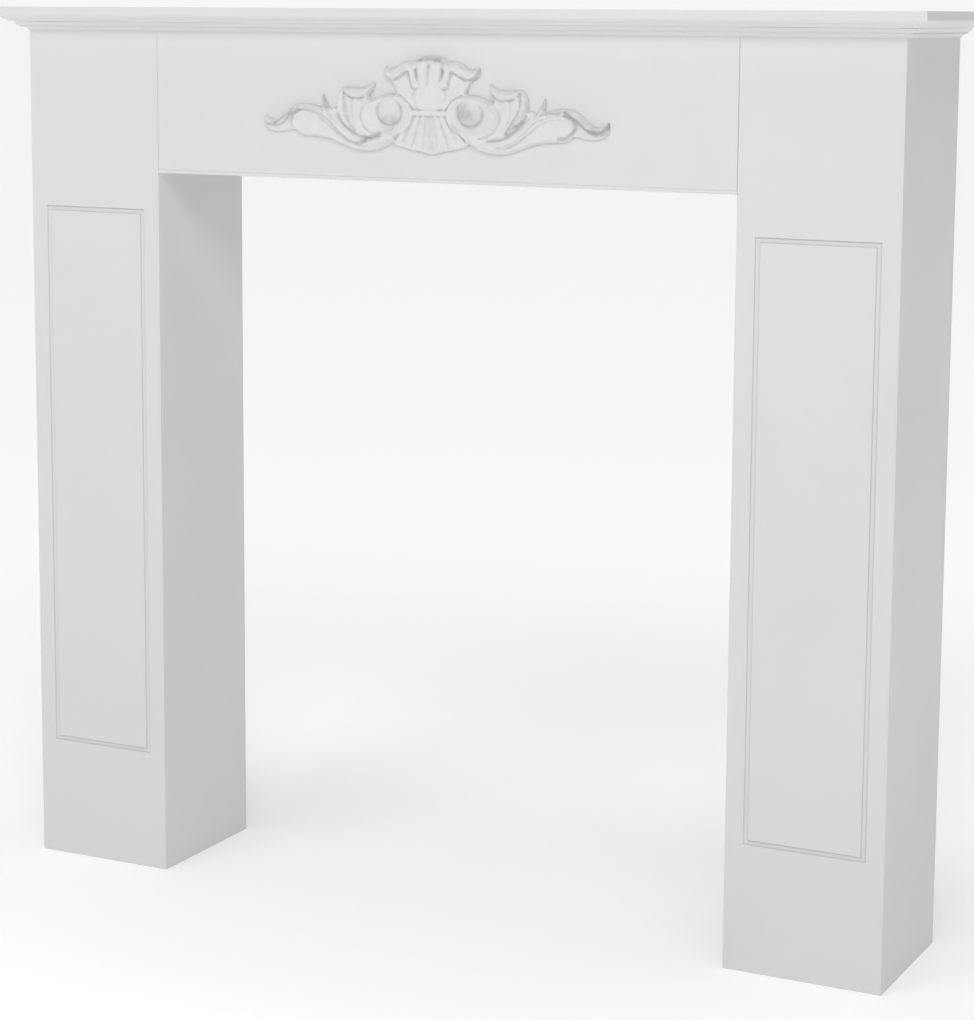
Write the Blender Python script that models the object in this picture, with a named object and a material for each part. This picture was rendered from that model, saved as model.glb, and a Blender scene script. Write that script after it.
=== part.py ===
"""Fireplace mantelpiece: two boxed legs with a routed panel line, a plain frieze board, a shelf
with a moulded edge on a small bed moulding, and a carved ornament fixed to the frieze.

Metres, +Z up. The front faces -Y, the back edges meet the wall, and the origin is on the floor
under the middle of the whole piece.
"""

import itertools
import math

import bmesh
import bpy
import numpy as np

# Overall sizes
BODY_WIDTH = 1.045
BODY_DEPTH = 0.179
TOTAL_HEIGHT = 1.000
FRIEZE_HEIGHT = 0.185
LEG_WIDTH = 0.174

# Boards and the gap that a glued joint keeps
LEG_BOARD = 0.016
FRIEZE_BOARD = 0.016
JOINT_GAP = 0.0003

# Shelf: a square nosing over a sloping ogee, mitred round the two front corners
SHELF_OVERHANG = 0.0275
SHELF_THICKNESS = 0.0165
NOSING_HEIGHT = 0.009
NOSING_RETREAT = 0.010
OGEE_SWING = 0.09
OGEE_STEPS = 6

# Bed moulding under the shelf: a top band that leans in, a step and a cove
BED_HEIGHT = 0.0098
BED_PROJECTION = 0.0127
BED_BAND_HEIGHT = 0.0035
BED_BAND_LEAN = 0.0026
BED_STEP = 0.0027
BED_STEP_HEIGHT = 0.0009
BED_TOE = 0.0006
COVE_STEPS = 5

# Routed line round each leg's front, and the bead line along the frieze
GROOVE_SIDE_MARGIN = 0.020
GROOVE_FOOT_MARGIN = 0.1375
GROOVE_HEAD_MARGIN = 0.210
GROOVE_WIDTH = 0.006
GROOVE_FLOOR = 0.0036
GROOVE_DEPTH = 0.0018
BEAD_HEIGHT = 0.004
BEAD_LINE_WIDTH = 0.0012
BEAD_LINE_DEPTH = 0.0006

# Carved ornament on the frieze
ORNAMENT_WIDTH = 0.416
ORNAMENT_RELIEF = 0.0145
ORNAMENT_LIFT = 0.0295
ORNAMENT_HEAD_ROOM = 0.0229
ORNAMENT_GRID = 0.001
ORNAMENT_TRIANGLE_SHARE = 0.15
ORNAMENT_SMOOTHING = 2

# The ornament's strokes are drawn on a sheet of these sizes and scaled to the sizes above. Their
# outline is where their walls fall to the rim cut. Gaps up to twice the gap reach are closed by a
# low floor, and over the rim's reach the carving thins out from the rim's top to its height
SHEET_WIDTH = 416.0
SHEET_HEIGHT = 106.0
SHEET_RELIEF = 21.0
SHEET_MARGIN = 6.0
SHEET_GROUND = -6.0
WALL_SLOPE = 9.0
GAP_REACH = 2.2
GAP_FLOOR = 6.5
RIM_CUT = 5.0
RIM_REACH = 9.0
RIM_HEIGHT = 2.0
RIM_TOP = 21.0

# Colours as they show in daylight
PAINT_WHITE = (0.76, 0.76, 0.755, 1.0)
MOULDING_WHITE = (0.70, 0.70, 0.695, 1.0)
ORNAMENT_WHITE = (0.72, 0.70, 0.68, 1.0)
PAINT_ROUGHNESS = 0.45
ORNAMENT_ROUGHNESS = 0.6

# Places worked out from the sizes
SHELF_UNDERSIDE = TOTAL_HEIGHT - SHELF_THICKNESS
BOARD_TOP = SHELF_UNDERSIDE - JOINT_GAP
OPENING_HEIGHT = TOTAL_HEIGHT - FRIEZE_HEIGHT
ORNAMENT_FOOT = OPENING_HEIGHT + ORNAMENT_LIFT
ORNAMENT_HEIGHT = BOARD_TOP - BED_HEIGHT - ORNAMENT_HEAD_ROOM - ORNAMENT_FOOT
LEG_CENTRE = (BODY_WIDTH - LEG_WIDTH) / 2
WALL_PLANE = (BODY_DEPTH + SHELF_OVERHANG) / 2
FRONT_PLANE = WALL_PLANE - BODY_DEPTH
MITRE_BACK_OFF = JOINT_GAP / math.sqrt(2)

for item in list(bpy.data.objects):
    bpy.data.objects.remove(item, do_unlink=True)

collection = bpy.data.collections.new("fireplace_mantelpiece")
bpy.context.scene.collection.children.link(collection)


def make_material(name, colour, roughness):
    """A plain painted finish."""
    material = bpy.data.materials.new(name)
    material.use_nodes = True
    shader = material.node_tree.nodes["Principled BSDF"]
    shader.inputs["Base Color"].default_value = colour
    shader.inputs["Roughness"].default_value = roughness
    shader.inputs["Metallic"].default_value = 0.0
    material.diffuse_color = colour
    return material


def make_empty(name, parent, location):
    """A guide that pieces hang from."""
    empty = bpy.data.objects.new(name, None)
    empty.parent = parent
    empty.location = location
    collection.objects.link(empty)
    return empty


def make_object(name, bm, parent, location, colour=PAINT_WHITE, roughness=PAINT_ROUGHNESS):
    """Turns a bmesh into a named piece with its own material."""
    bmesh.ops.recalc_face_normals(bm, faces=bm.faces)
    mesh = bpy.data.meshes.new(name)
    bm.to_mesh(mesh)
    bm.free()
    mesh.materials.append(make_material(name + "_finish", colour, roughness))
    piece = bpy.data.objects.new(name, mesh)
    piece.parent = parent
    piece.location = location
    collection.objects.link(piece)
    return piece


def board(x_size, y_size, z_size):
    """A board with its front lower left corner at the origin."""
    bm = bmesh.new()
    bmesh.ops.create_cube(bm, size=1.0)
    bmesh.ops.translate(bm, vec=(0.5, 0.5, 0.5), verts=bm.verts)
    bmesh.ops.scale(bm, vec=(x_size, y_size, z_size), verts=bm.verts)
    return bm


def strip(profile, start, end):
    """A strip with a (y, z) profile, whose ends are given along X for each profile point."""
    bm = bmesh.new()
    near = [bm.verts.new((start(y), y, z)) for y, z in profile]
    face = bm.faces.new(near)
    swept = bmesh.ops.extrude_face_region(bm, geom=[face])
    far = [v for v in swept["geom"] if isinstance(v, bmesh.types.BMVert)]
    for vertex in far:
        vertex.co.x = end(vertex.co.y)
    return bm


def leg_front_board():
    """Front board of a leg, mitred on both long edges, with the routed panel line."""
    bm = board(LEG_WIDTH, LEG_BOARD, BOARD_TOP)
    bmesh.ops.translate(bm, vec=(-LEG_WIDTH / 2, 0, 0), verts=bm.verts)
    for vertex in bm.verts:
        cut = MITRE_BACK_OFF + (LEG_BOARD if vertex.co.y > LEG_BOARD / 2 else 0)
        vertex.co.x -= math.copysign(cut, vertex.co.x)
    bm.faces.ensure_lookup_table()
    face = min(bm.faces, key=lambda f: f.calc_center_median().y)
    bmesh.ops.inset_individual(bm, faces=[face], thickness=GROOVE_SIDE_MARGIN / 2)
    for vertex in face.verts:
        low = vertex.co.z < BOARD_TOP / 2
        vertex.co.x = math.copysign(LEG_WIDTH / 2 - GROOVE_SIDE_MARGIN, vertex.co.x)
        vertex.co.z = GROOVE_FOOT_MARGIN if low else BOARD_TOP - GROOVE_HEAD_MARGIN
    slope = (GROOVE_WIDTH - GROOVE_FLOOR) / 2
    for width, depth in ((slope, -GROOVE_DEPTH), (GROOVE_FLOOR, 0), (slope, GROOVE_DEPTH)):
        bmesh.ops.inset_individual(bm, faces=[face], thickness=width, depth=depth)
    return bm


def leg_side_board(outward):
    """Side board of a leg, mitred on its front edge. Outward is the X side its face shows on."""
    bm = board(LEG_BOARD, BODY_DEPTH, BOARD_TOP)
    bmesh.ops.translate(bm, vec=(-LEG_BOARD / 2, 0, 0), verts=bm.verts)
    for vertex in bm.verts:
        if vertex.co.y < BODY_DEPTH / 2:
            hidden = vertex.co.x * outward < 0
            vertex.co.y = MITRE_BACK_OFF + (LEG_BOARD if hidden else 0)
    return bm


def make_leg(side, parent):
    """Three boards folded into one boxed leg, open to the wall. Side is -1 left, 1 right."""
    hand = "left" if side < 0 else "right"
    centre = make_empty(hand + "_leg", parent, (side * LEG_CENTRE, 0, 0))
    make_object(hand + "_leg_front_board", leg_front_board(), centre, (0, 0, 0))
    reach = (LEG_WIDTH - LEG_BOARD) / 2
    for place, outward in (("outer", side), ("inner", -side)):
        name = f"{hand}_leg_{place}_board"
        make_object(name, leg_side_board(outward), centre, (outward * reach, 0, 0))


def make_frieze(parent):
    """The board between the legs, flush with their fronts, with a fine line over its edge."""
    half = BODY_WIDTH / 2 - LEG_WIDTH - JOINT_GAP
    line = OPENING_HEIGHT + BEAD_HEIGHT
    profile = (
        (0, OPENING_HEIGHT),
        (0, line - BEAD_LINE_WIDTH / 2),
        (BEAD_LINE_DEPTH, line),
        (0, line + BEAD_LINE_WIDTH / 2),
        (0, BOARD_TOP),
        (FRIEZE_BOARD, BOARD_TOP),
        (FRIEZE_BOARD, OPENING_HEIGHT),
    )
    bm = strip(profile, lambda y: -half, lambda y: half)
    make_object("frieze_board", bm, parent, (0, 0, 0))


def shelf_edge():
    """(overhang, height) of the shelf's moulded edge, from the underside up."""
    rows = []
    rise = SHELF_THICKNESS - NOSING_HEIGHT
    for step in range(OGEE_STEPS + 1):
        share = step / OGEE_STEPS
        swing = OGEE_SWING * math.sin(2 * math.pi * share)
        rows.append((SHELF_OVERHANG - NOSING_RETREAT * (1 - share), rise * (share + swing)))
    rows.append((SHELF_OVERHANG, SHELF_THICKNESS))
    return rows


def make_shelf(parent):
    """The mantel shelf: one board whose edge profile runs round the front and both ends."""
    rows = shelf_edge()
    bm = bmesh.new()
    bmesh.ops.create_grid(bm, x_segments=1, y_segments=1, size=1.0)
    bm.faces.ensure_lookup_table()
    face = bm.faces[0]
    for index, (out, height) in enumerate(rows):
        if index:
            swept = bmesh.ops.extrude_face_region(bm, geom=[face])
            bmesh.ops.delete(bm, geom=[face], context="FACES_ONLY")
            face = next(g for g in swept["geom"] if isinstance(g, bmesh.types.BMFace))
        for vertex in face.verts:
            back = vertex.co.y > 0 if index == 0 else vertex.co.y > BODY_DEPTH / 2
            vertex.co.x = math.copysign(BODY_WIDTH / 2 + out, vertex.co.x)
            vertex.co.y = BODY_DEPTH if back else -out
            vertex.co.z = height
    bmesh.ops.holes_fill(bm, edges=bm.edges, sides=4)
    make_object("mantel_shelf", bm, parent, (0, 0, SHELF_UNDERSIDE))


def bed_profile():
    """(out, down) of the bed moulding's section, from its top back corner round to its toe."""
    band_out = BED_PROJECTION - BED_BAND_LEAN
    cove_out = band_out - BED_STEP
    cove_top = BED_BAND_HEIGHT + BED_STEP_HEIGHT
    rows = [(0.0, 0.0), (BED_PROJECTION, 0.0), (band_out, BED_BAND_HEIGHT), (cove_out, cove_top)]
    for step in range(1, COVE_STEPS + 1):
        turn = math.pi / 2 * step / COVE_STEPS
        out = cove_out - (cove_out - BED_TOE) * math.sin(turn)
        down = BED_HEIGHT - (BED_HEIGHT - cove_top) * math.cos(turn)
        rows.append((out, down))
    rows.append((0.0, BED_HEIGHT))
    return rows


def make_bed_moulding(parent):
    """Bed moulding under the shelf: a front length and two returns, mitred at the corners."""
    rows = bed_profile()
    front = [(-JOINT_GAP - out, BOARD_TOP - down) for out, down in rows]
    mitre = BODY_WIDTH / 2 - MITRE_BACK_OFF
    bm = strip(front, lambda y: -(mitre - y), lambda y: mitre - y)
    make_object("bed_moulding_front", bm, parent, (0, 0, 0), MOULDING_WHITE)
    for side, hand in ((-1, "left"), (1, "right")):
        bm = strip(front, lambda y: -BODY_DEPTH, lambda y: -y - MITRE_BACK_OFF)
        for vertex in bm.verts:
            along, out, height = vertex.co
            vertex.co = (side * (BODY_WIDTH / 2 - out), -along, height)
        make_object(f"bed_moulding_{hand}", bm, parent, (0, 0, 0), MOULDING_WHITE)


def smooth_path(rows, per_span=6):
    """A smooth run of points through the given rows (a Catmull-Rom curve)."""
    points = np.array(rows, float)
    points = np.vstack([2 * points[0] - points[1], points, 2 * points[-1] - points[-2]])
    made = []
    for a, b, c, d in zip(points, points[1:], points[2:], points[3:]):
        t = np.linspace(0, 1, per_span, endpoint=False)[:, None]
        cubic = 3 * b - a - 3 * c + d
        made.append(0.5 * (2 * b + (c - a) * t + (2 * a - 5 * b + 4 * c - d) * t**2 + cubic * t**3))
    made.append(points[-2][None])
    return np.vstack(made)


def spread(values, count):
    """A few values spaced evenly along a stroke, read smoothly at each of its points."""
    curve = smooth_path([(value,) for value in values], 12)[:, 0]
    return np.interp(np.linspace(0, 1, count), np.linspace(0, 1, len(curve)), curve)


def carve(ground, x, z, path, widths, heights, scoop=0.0, lean=0.0, cut=1.4, soften=0.25):
    """Lays one stroke of carving over the ground: a leaf, a ribbon or a rib.

    The path is its middle line, widths are half widths and heights are the relief of its edges.
    Scoop hollows it, or crowns it where negative, lean tips it to one side, and soften rounds its
    edges. Cut is the depth of the knife line that sets it off where it stands over its ground.
    """
    line = smooth_path(path)
    half_widths = np.maximum(spread(widths, len(line)), 0.3)
    rises = spread(heights, len(line))
    nearest = np.full(x.shape, 1e9)
    hand, half, rise = np.zeros_like(x), np.ones_like(x), np.zeros_like(x)
    for i in range(len(line) - 1):
        (x0, z0), (dx, dz) = line[i], line[i + 1] - line[i]
        t = np.clip(((x - x0) * dx + (z - z0) * dz) / (dx * dx + dz * dz), 0, 1)
        ex, ez = x - x0 - t * dx, z - z0 - t * dz
        distance = np.hypot(ex, ez)
        closer = distance < nearest
        nearest = np.where(closer, distance, nearest)
        hand = np.where(closer, np.sign(dx * ez - dz * ex), hand)
        half = np.where(closer, half_widths[i] + t * (half_widths[i + 1] - half_widths[i]), half)
        rise = np.where(closer, rises[i] + t * (rises[i + 1] - rises[i]), rise)
    share = np.clip(nearest / half, 0, 1)
    outside = np.maximum(nearest - half, 0)
    form = rise * (1 + lean * hand * share + scoop * (share**2 - 1))
    form -= soften * rise * np.clip((share - 0.75) / 0.25, 0, 1) ** 2 * np.clip(half / 3, 0, 1)
    knife = cut * np.exp(-(outside**2)) * (outside > 0) * np.clip(0.5 + (form - ground) / 2, 0, 1)
    return np.maximum(ground - knife, form - WALL_SLOPE * outside)


def carve_end_leaf(relief, x, z):
    """The leaf at the tip of the arm: a blade under a rolled upper lip, hooked at its end."""
    blade = [(166, 33), (180, 29.5), (190, 27.2), (198, 27.6), (203.8, 32.5), (206, 37.5)]
    relief = carve(relief, x, z, blade, (8, 6.8, 5.2, 4.2, 1), (7, 8.5, 8.5, 7), 0.18)
    lip = [(134, 46.6), (146, 49), (157, 49.6), (167, 47.6), (175, 43.2), (181.5, 37), (188.5, 32.4)]
    lip += [(196.5, 31.8), (202.5, 34.3), (206, 39)]
    widths = (1.0, 2.4, 2.7, 2.9, 2.8, 2.3, 0.8)
    return carve(relief, x, z, lip, widths, (12, 13, 12.5, 11.5, 10.5, 8), 0, -0.2, 2)


def carve_scroll_arm(relief, x, z):
    """The long arm: a spoon-shaped paddle, and the ribbon that sweeps from it under the scroll."""
    paddle = [(155, 32), (141, 30.6), (124, 25.2), (108, 17.4), (92, 11), (76, 9), (60, 11.5), (46, 18)]
    widths = (13.6, 12.8, 9.4, 6.8, 5.8, 5.2, 4.6, 3)
    relief = carve(relief, x, z, paddle, widths, (10.5, 11, 11.5, 12.5, 12.5), 0.16, 0, 0, 0.1)
    rim = [(122, 39.5), (132, 42.4), (145, 44.2), (157, 43.6), (165, 39.2), (168, 32.2), (165, 25.4)]
    relief = carve(relief, x, z, rim, (0.8, 1.5, 1.5, 1.4, 0.7), (11.5, 12, 12, 11.5), 0, 0, 0.7)
    web = [(119, 47.5), (111, 38.5), (99, 28), (86, 20)]
    relief = carve(relief, x, z, web, (2, 6, 6, 3), (6, 8, 10.5), 0.2, cut=0.4)
    spike = [(133.3, 62.5), (131, 53), (123.5, 42), (108, 28.5), (92, 19), (80, 15.5)]
    relief = carve(relief, x, z, spike, (0.9, 2.7, 3.2, 2.6, 1.5), (8, 11, 12, 9), 0.2, 0.15, 1.2)
    ribbon = [(158, 47.8), (145, 46.2), (128, 39.5), (109, 26), (90, 14.8), (70, 12.6), (51, 18.5)]
    ribbon += [(36, 29), (24, 43)]
    widths = (1.2, 2.9, 3.8, 4.0, 3.9, 3.4, 2.2)
    return carve(relief, x, z, ribbon, widths, (11.5, 13, 14, 15, 14), 0.04, 0.1, 1.5, 0.15)


def carve_side_leaves(relief, x, z):
    """A slim leaf, a broad one with a folded wavy lip, and the scroll's inner lip, on one bed."""
    bed = [(56, 24), (76, 24), (93, 29)]
    relief = carve(relief, x, z, bed, (6, 7.5, 6), (8, 8), 0.1, cut=0)
    slim = [(108.5, 68), (110.5, 59), (107, 46), (98, 34), (85, 25), (72, 18)]
    relief = carve(relief, x, z, slim, (1.2, 3.8, 4.8, 3.8, 1.4), (9, 12, 13, 9), 0.22, 0.12, 1.4, 0.12)
    outer_half = [(98, 60), (98, 51), (94, 40), (85, 30), (70, 21.5), (57, 18)]
    relief = carve(relief, x, z, outer_half, (7, 7, 6, 3.8, 1.4), (10, 12.5, 13.5), 0.25, 0.1, 1.6, 0.12)
    inner_half = [(83.5, 60), (86, 51), (85.5, 41), (79, 30), (66, 22), (55, 19.5)]
    relief = carve(relief, x, z, inner_half, (8, 7.4, 6.4, 4.6, 1.6), (10, 12.5, 13.5), 0.2, 0, 0.4, 0.12)
    lip = [(70, 76.5), (73.8, 71), (79.5, 67.2), (87, 65.8), (94, 66.2), (100, 67.8), (107, 70)]
    relief = carve(relief, x, z, lip, (0.8, 3.2, 4.3, 4.3, 3.4, 1.2), (10, 14, 14, 11), 0.05, -0.3, 1.8)
    inner_lip = [(70, 57), (76, 52), (79.5, 44), (78, 35.5), (71.5, 28), (62, 23.5), (51, 21.5)]
    return carve(relief, x, z, inner_lip, (0.8, 2.6, 3.4, 3, 2), (13, 14.5, 14), 0.05, -0.06, 1.2)


def carve_scroll_eye(relief, x, z):
    """The hollow cup of the scroll and the ball that sits in it, high against the cup's top."""
    across, up = 48.5, 43.0
    half_width, half_height = 27.5, 21.0
    floor, brim = 6.5, 14.5
    reach = np.hypot((x - across) / half_width, (z - up) / half_height)
    outside = np.maximum(reach - 1, 0) * (half_width + half_height) / 2
    rim = brim - 2.2 * np.clip((reach - 1) / 0.06, 0, 1) ** 2 - outside * WALL_SLOPE
    tilt = 2.5 * np.clip((z - up) / half_height, -0.4, 1)
    cup = floor + (brim - floor) * np.minimum(reach, 1) ** 2.4 + tilt
    relief = np.where(reach < 1, np.minimum(cup, brim), np.maximum(relief, rim))
    ball_up, ball_radius, ball_rise, ball_seat = up + 3.8, 14.2, 13.0, 7.0
    share = np.hypot(x - across, z - ball_up) / ball_radius
    ball = ball_seat + ball_rise * np.sqrt(np.maximum(1 - share**2, 0)) - 20 * np.maximum(share - 1, 0)
    melt = 0.3 + 1.5 * np.clip((z - up - 2) / 12, 0, 1)
    joined = melt * np.logaddexp(relief / melt, ball / melt)
    return np.where(reach < 1, joined, relief)


def carve_crown(relief, x, z):
    """The leaf over the collar: its base, low frill, side lobes, hanging folds, tongues and curl."""
    base = [(0, 63), (0, 70), (0, 82)]
    relief = carve(relief, x, z, base, (20, 17, 15), (12, 11.5), -0.35)
    recess = [(38, 84), (31, 74), (20, 62)]
    relief = carve(relief, x, z, recess, (10.5, 12.5, 11), (7.5, 10), 0.1, cut=0)
    wing = [(44.5, 77), (38, 76), (30, 72.5), (20, 65), (11, 56)]
    relief = carve(relief, x, z, wing, (0.8, 4.5, 6, 7), (7, 9.5, 11), 0.15, 0.1, 0.5, 0.12)
    frill = [(40, 69), (34, 67.5), (26.5, 63), (18.5, 55.5), (13, 49)]
    relief = carve(relief, x, z, frill, (0.8, 2.8, 3.8, 3.6), (8, 10.5, 11.5), 0.15, 0.1, 0.6, 0.12)
    lobe = [(56, 93.5), (53.4, 88.4), (46.5, 86), (39, 89.4), (30, 94.5), (20, 95)]
    widths = (0.7, 4.0, 5.2, 5.0, 5.2, 4.8)
    relief = carve(relief, x, z, lobe, widths, (9, 12.5, 12.5, 12.5), 0.05, 0.26, 1.8)
    fold = [(21.8, 93), (20, 84), (17.2, 75.8)]
    relief = carve(relief, x, z, fold, (3.8, 3.4, 4.4), (12.6, 13, 14.2), -0.05, cut=1.3, soften=0.15)
    tongue = [(8.4, 97), (7.6, 86), (6.6, 74), (7.5, 60)]
    relief = carve(relief, x, z, tongue, (7.6, 6.6, 5.6, 7), (12.6, 13, 12.2, 10.4), -0.15, cut=0.5)
    curl = [(0, 99.8), (8, 99.7), (14, 98.2), (18.4, 92)]
    relief = carve(relief, x, z, curl, (4.5, 4.2, 3.3, 1.4), (15.5, 15.5, 14), 0.1, 0.3, 1.8)
    groove_width = 1 + np.maximum(z - 75, 0) / 14
    groove = 2.2 * np.clip((z - 50) / 45, 0, 1) * np.exp(-((x / groove_width) ** 2))
    return relief - np.where(z < 95.5, groove, 0)


def carve_fan(relief, x, z):
    """The fluted shell under the collar, with its pointed, scalloped lower edge."""
    focus, top = 74.0, 44.0
    ridges = (0.0, 13.6, 24.0, 34.5)
    flute_depth, scallop = 2.6, 1.4
    turn = np.degrees(np.arctan2(x, focus - z))
    shell = 9.5 - 0.6 * np.exp(-((turn / 1.6) ** 2)) + 2.5 * np.clip((z - 20) / 20, 0, 1)
    edge = 2.2 + 0.21 * x
    for near, far in zip(ridges, ridges[1:]):
        middle = near if near == 0 else (near + far) / 2
        share = np.clip(np.abs(turn - middle) / (far - middle), 0, 1)
        hollow = (turn >= near) * (turn < far) * (1 - share**2)
        shell -= flute_depth * hollow
        edge -= scallop * np.sqrt(hollow)
    shell -= WALL_SLOPE * (np.maximum(edge - z, 0) + np.maximum(turn - ridges[-1], 0))
    return np.where(z < top, np.maximum(relief, shell), relief)


def carve_collar(relief, x, z):
    """The band that ties crown and fan together, bowed forward between two knife lines."""
    reach, middle, half_height = 21.5, 45.2, 2.5
    off = np.abs(z - middle)
    knife = 2.2 * np.exp(-(((off - half_height - 0.9) / 0.8) ** 2)) * np.clip(reach + 1 - x, 0, 1)
    band = 14.0 - 1.5 * (x / reach) ** 2 - 1.2 * np.clip(off / half_height, 0, 1) ** 4
    band -= WALL_SLOPE * (np.maximum(off - half_height, 0) + np.maximum(x - reach, 0))
    return np.maximum(relief - knife, band)


def ornament_relief(x, z):
    """Height of the carving on its sheet, at x either side of the middle and z over its foot."""
    x = np.abs(x)
    relief = np.full(x.shape, SHEET_GROUND)
    steps = (carve_end_leaf, carve_scroll_arm, carve_side_leaves, carve_scroll_eye)
    steps += (carve_crown, carve_fan, carve_collar)
    for step in steps:
        relief = step(relief, x, z)
    return relief


def spread_distance(start, cell, reach):
    """How far each point of a grid is from where it starts, up to a reach."""
    distance = np.minimum(start, reach)
    high, wide = distance.shape
    for _ in range(math.ceil(reach / cell)):
        around = np.pad(distance, 1, mode="edge")
        for down, across in itertools.product(range(3), repeat=2):
            neighbour = around[down : down + high, across : across + wide]
            distance = np.minimum(distance, neighbour + cell * math.hypot(down - 1, across - 1))
    return distance


def thin_rim(relief, cell):
    """Closes narrow gaps and lets the carving thin out towards its outline, on a grid of cells."""
    walls = np.maximum((RIM_CUT - relief) / WALL_SLOPE, -cell)
    outside = spread_distance(np.where(relief > SHEET_GROUND, walls, np.inf), cell, 2 * GAP_REACH)
    beyond = np.where(outside > GAP_REACH, np.maximum(GAP_REACH - outside, -cell), np.inf)
    inside = spread_distance(beyond, cell, GAP_REACH + RIM_REACH) - GAP_REACH
    floor = np.where(inside > 0, GAP_FLOOR, SHEET_GROUND)
    rim = RIM_HEIGHT + (RIM_TOP - RIM_HEIGHT) * (1 - (1 - inside / RIM_REACH) ** 2)
    return np.minimum(np.maximum(relief, floor), rim)


def make_ornament(parent):
    """The carved ornament: a fine sheet raised into relief, cut off flat at its back."""
    bm = bmesh.new()
    half_wide = SHEET_WIDTH / 2 + SHEET_MARGIN
    half_high = SHEET_HEIGHT / 2 + SHEET_MARGIN
    cell = ORNAMENT_GRID * SHEET_WIDTH / ORNAMENT_WIDTH
    columns, rows = 2 * round(half_wide / cell), 2 * round(half_high / cell)
    bmesh.ops.create_grid(bm, x_segments=columns, y_segments=rows, size=1.0)
    bmesh.ops.scale(bm, vec=(half_wide, half_high, 1), verts=bm.verts)
    bmesh.ops.translate(bm, vec=(0, SHEET_HEIGHT / 2, 0), verts=bm.verts)
    places = np.array([vertex.co[:] for vertex in bm.verts])
    x, z = places[:, :2].T.reshape(2, rows + 1, columns + 1)
    heights = thin_rim(ornament_relief(x, z), cell).ravel()
    to_width = ORNAMENT_WIDTH / SHEET_WIDTH
    to_height = ORNAMENT_HEIGHT / SHEET_HEIGHT
    to_relief = ORNAMENT_RELIEF / SHEET_RELIEF
    for vertex, (x, z, _), height in zip(bm.verts, places, heights):
        vertex.co = (x * to_width, -height * to_relief, z * to_height)
    for _ in range(ORNAMENT_SMOOTHING):
        bmesh.ops.smooth_vert(bm, verts=bm.verts, factor=0.5, use_axis_y=True)
    geometry = bm.verts[:] + bm.edges[:] + bm.faces[:]
    bmesh.ops.bisect_plane(
        bm, geom=geometry, dist=1e-7, plane_co=(0, 0, 0), plane_no=(0, 1, 0), clear_outer=True
    )
    rim = [edge for edge in bm.edges if edge.is_boundary]
    bmesh.ops.triangle_fill(bm, edges=rim, use_beauty=True)
    place = (0, -JOINT_GAP, ORNAMENT_FOOT)
    piece = make_object("carved_ornament", bm, parent, place, ORNAMENT_WHITE, ORNAMENT_ROUGHNESS)
    thin = piece.modifiers.new("fewer_faces", "DECIMATE")
    thin.ratio = ORNAMENT_TRIANGLE_SHARE
    piece.data.shade_smooth()


body = make_empty("mantelpiece", None, (0, FRONT_PLANE, 0))
for leg_side in (-1, 1):
    make_leg(leg_side, body)
make_frieze(body)
make_shelf(body)
make_bed_moulding(body)
make_ornament(body)
bpy.context.view_layer.update()
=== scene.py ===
# %% [markdown]
# # A painted fireplace surround
#
# This lesson dresses the measured model of a small wooden mantelpiece: two boxed legs, a frieze
# board with a carved ornament, a shelf with a moulded edge, and a thin bed moulding under it.
# The measured model says where every board is. Here each board gets the soft edges, the routed
# line and the paint that a joiner and a painter would give it.

# %% Open the measured model
import itertools
import math

import bmesh
import bpy
import numpy as np
from mathutils import Matrix, Vector


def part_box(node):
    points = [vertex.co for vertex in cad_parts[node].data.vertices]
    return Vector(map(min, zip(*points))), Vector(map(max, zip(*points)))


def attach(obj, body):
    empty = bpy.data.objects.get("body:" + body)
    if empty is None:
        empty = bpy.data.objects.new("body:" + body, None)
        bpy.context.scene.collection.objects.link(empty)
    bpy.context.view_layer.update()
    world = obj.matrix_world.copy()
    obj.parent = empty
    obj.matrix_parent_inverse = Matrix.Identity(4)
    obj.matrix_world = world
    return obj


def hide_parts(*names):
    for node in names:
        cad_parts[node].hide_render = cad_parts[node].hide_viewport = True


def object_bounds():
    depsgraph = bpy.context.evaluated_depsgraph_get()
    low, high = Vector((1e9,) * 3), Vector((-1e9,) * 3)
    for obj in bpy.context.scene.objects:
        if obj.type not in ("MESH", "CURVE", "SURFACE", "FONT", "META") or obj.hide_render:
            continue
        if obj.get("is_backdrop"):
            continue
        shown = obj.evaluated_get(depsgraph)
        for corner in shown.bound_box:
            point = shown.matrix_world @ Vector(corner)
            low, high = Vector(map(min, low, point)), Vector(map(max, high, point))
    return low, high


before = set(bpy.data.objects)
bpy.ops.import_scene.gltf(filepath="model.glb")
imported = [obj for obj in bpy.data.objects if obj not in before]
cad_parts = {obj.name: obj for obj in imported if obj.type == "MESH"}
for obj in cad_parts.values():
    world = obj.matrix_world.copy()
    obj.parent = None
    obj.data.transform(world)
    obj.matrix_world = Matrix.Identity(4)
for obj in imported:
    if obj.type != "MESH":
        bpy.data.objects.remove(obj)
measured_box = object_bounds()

print("boards and mouldings:", ", ".join(sorted(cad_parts)))

# %% [markdown]
# ## The camera
#
# The photograph looks at the surround from its right, from about the height of the shelf. A
# focal length in pixels and the point where the lens axis meets the picture describe such a
# camera, and both turn into Blender's own units by the picture's long side. The picture is
# shifted only a little against the lens, so the surround stays in the frame from other sides too.

# %% Set up the camera
PICTURE_WIDTH, PICTURE_HEIGHT = 974, 1020
SENSOR_SIZE = 36.0
FOCAL_PIXELS = 2653.0
AXIS_PIXEL = (475.8, 387.6)
CAMERA_PLACE = Vector((1.3190, -2.5923, 0.9968))
CAMERA_TURN = math.radians(26.69)
CAMERA_TILT = math.radians(-8.06)
CAMERA_ROLL = math.radians(0.32)

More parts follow.
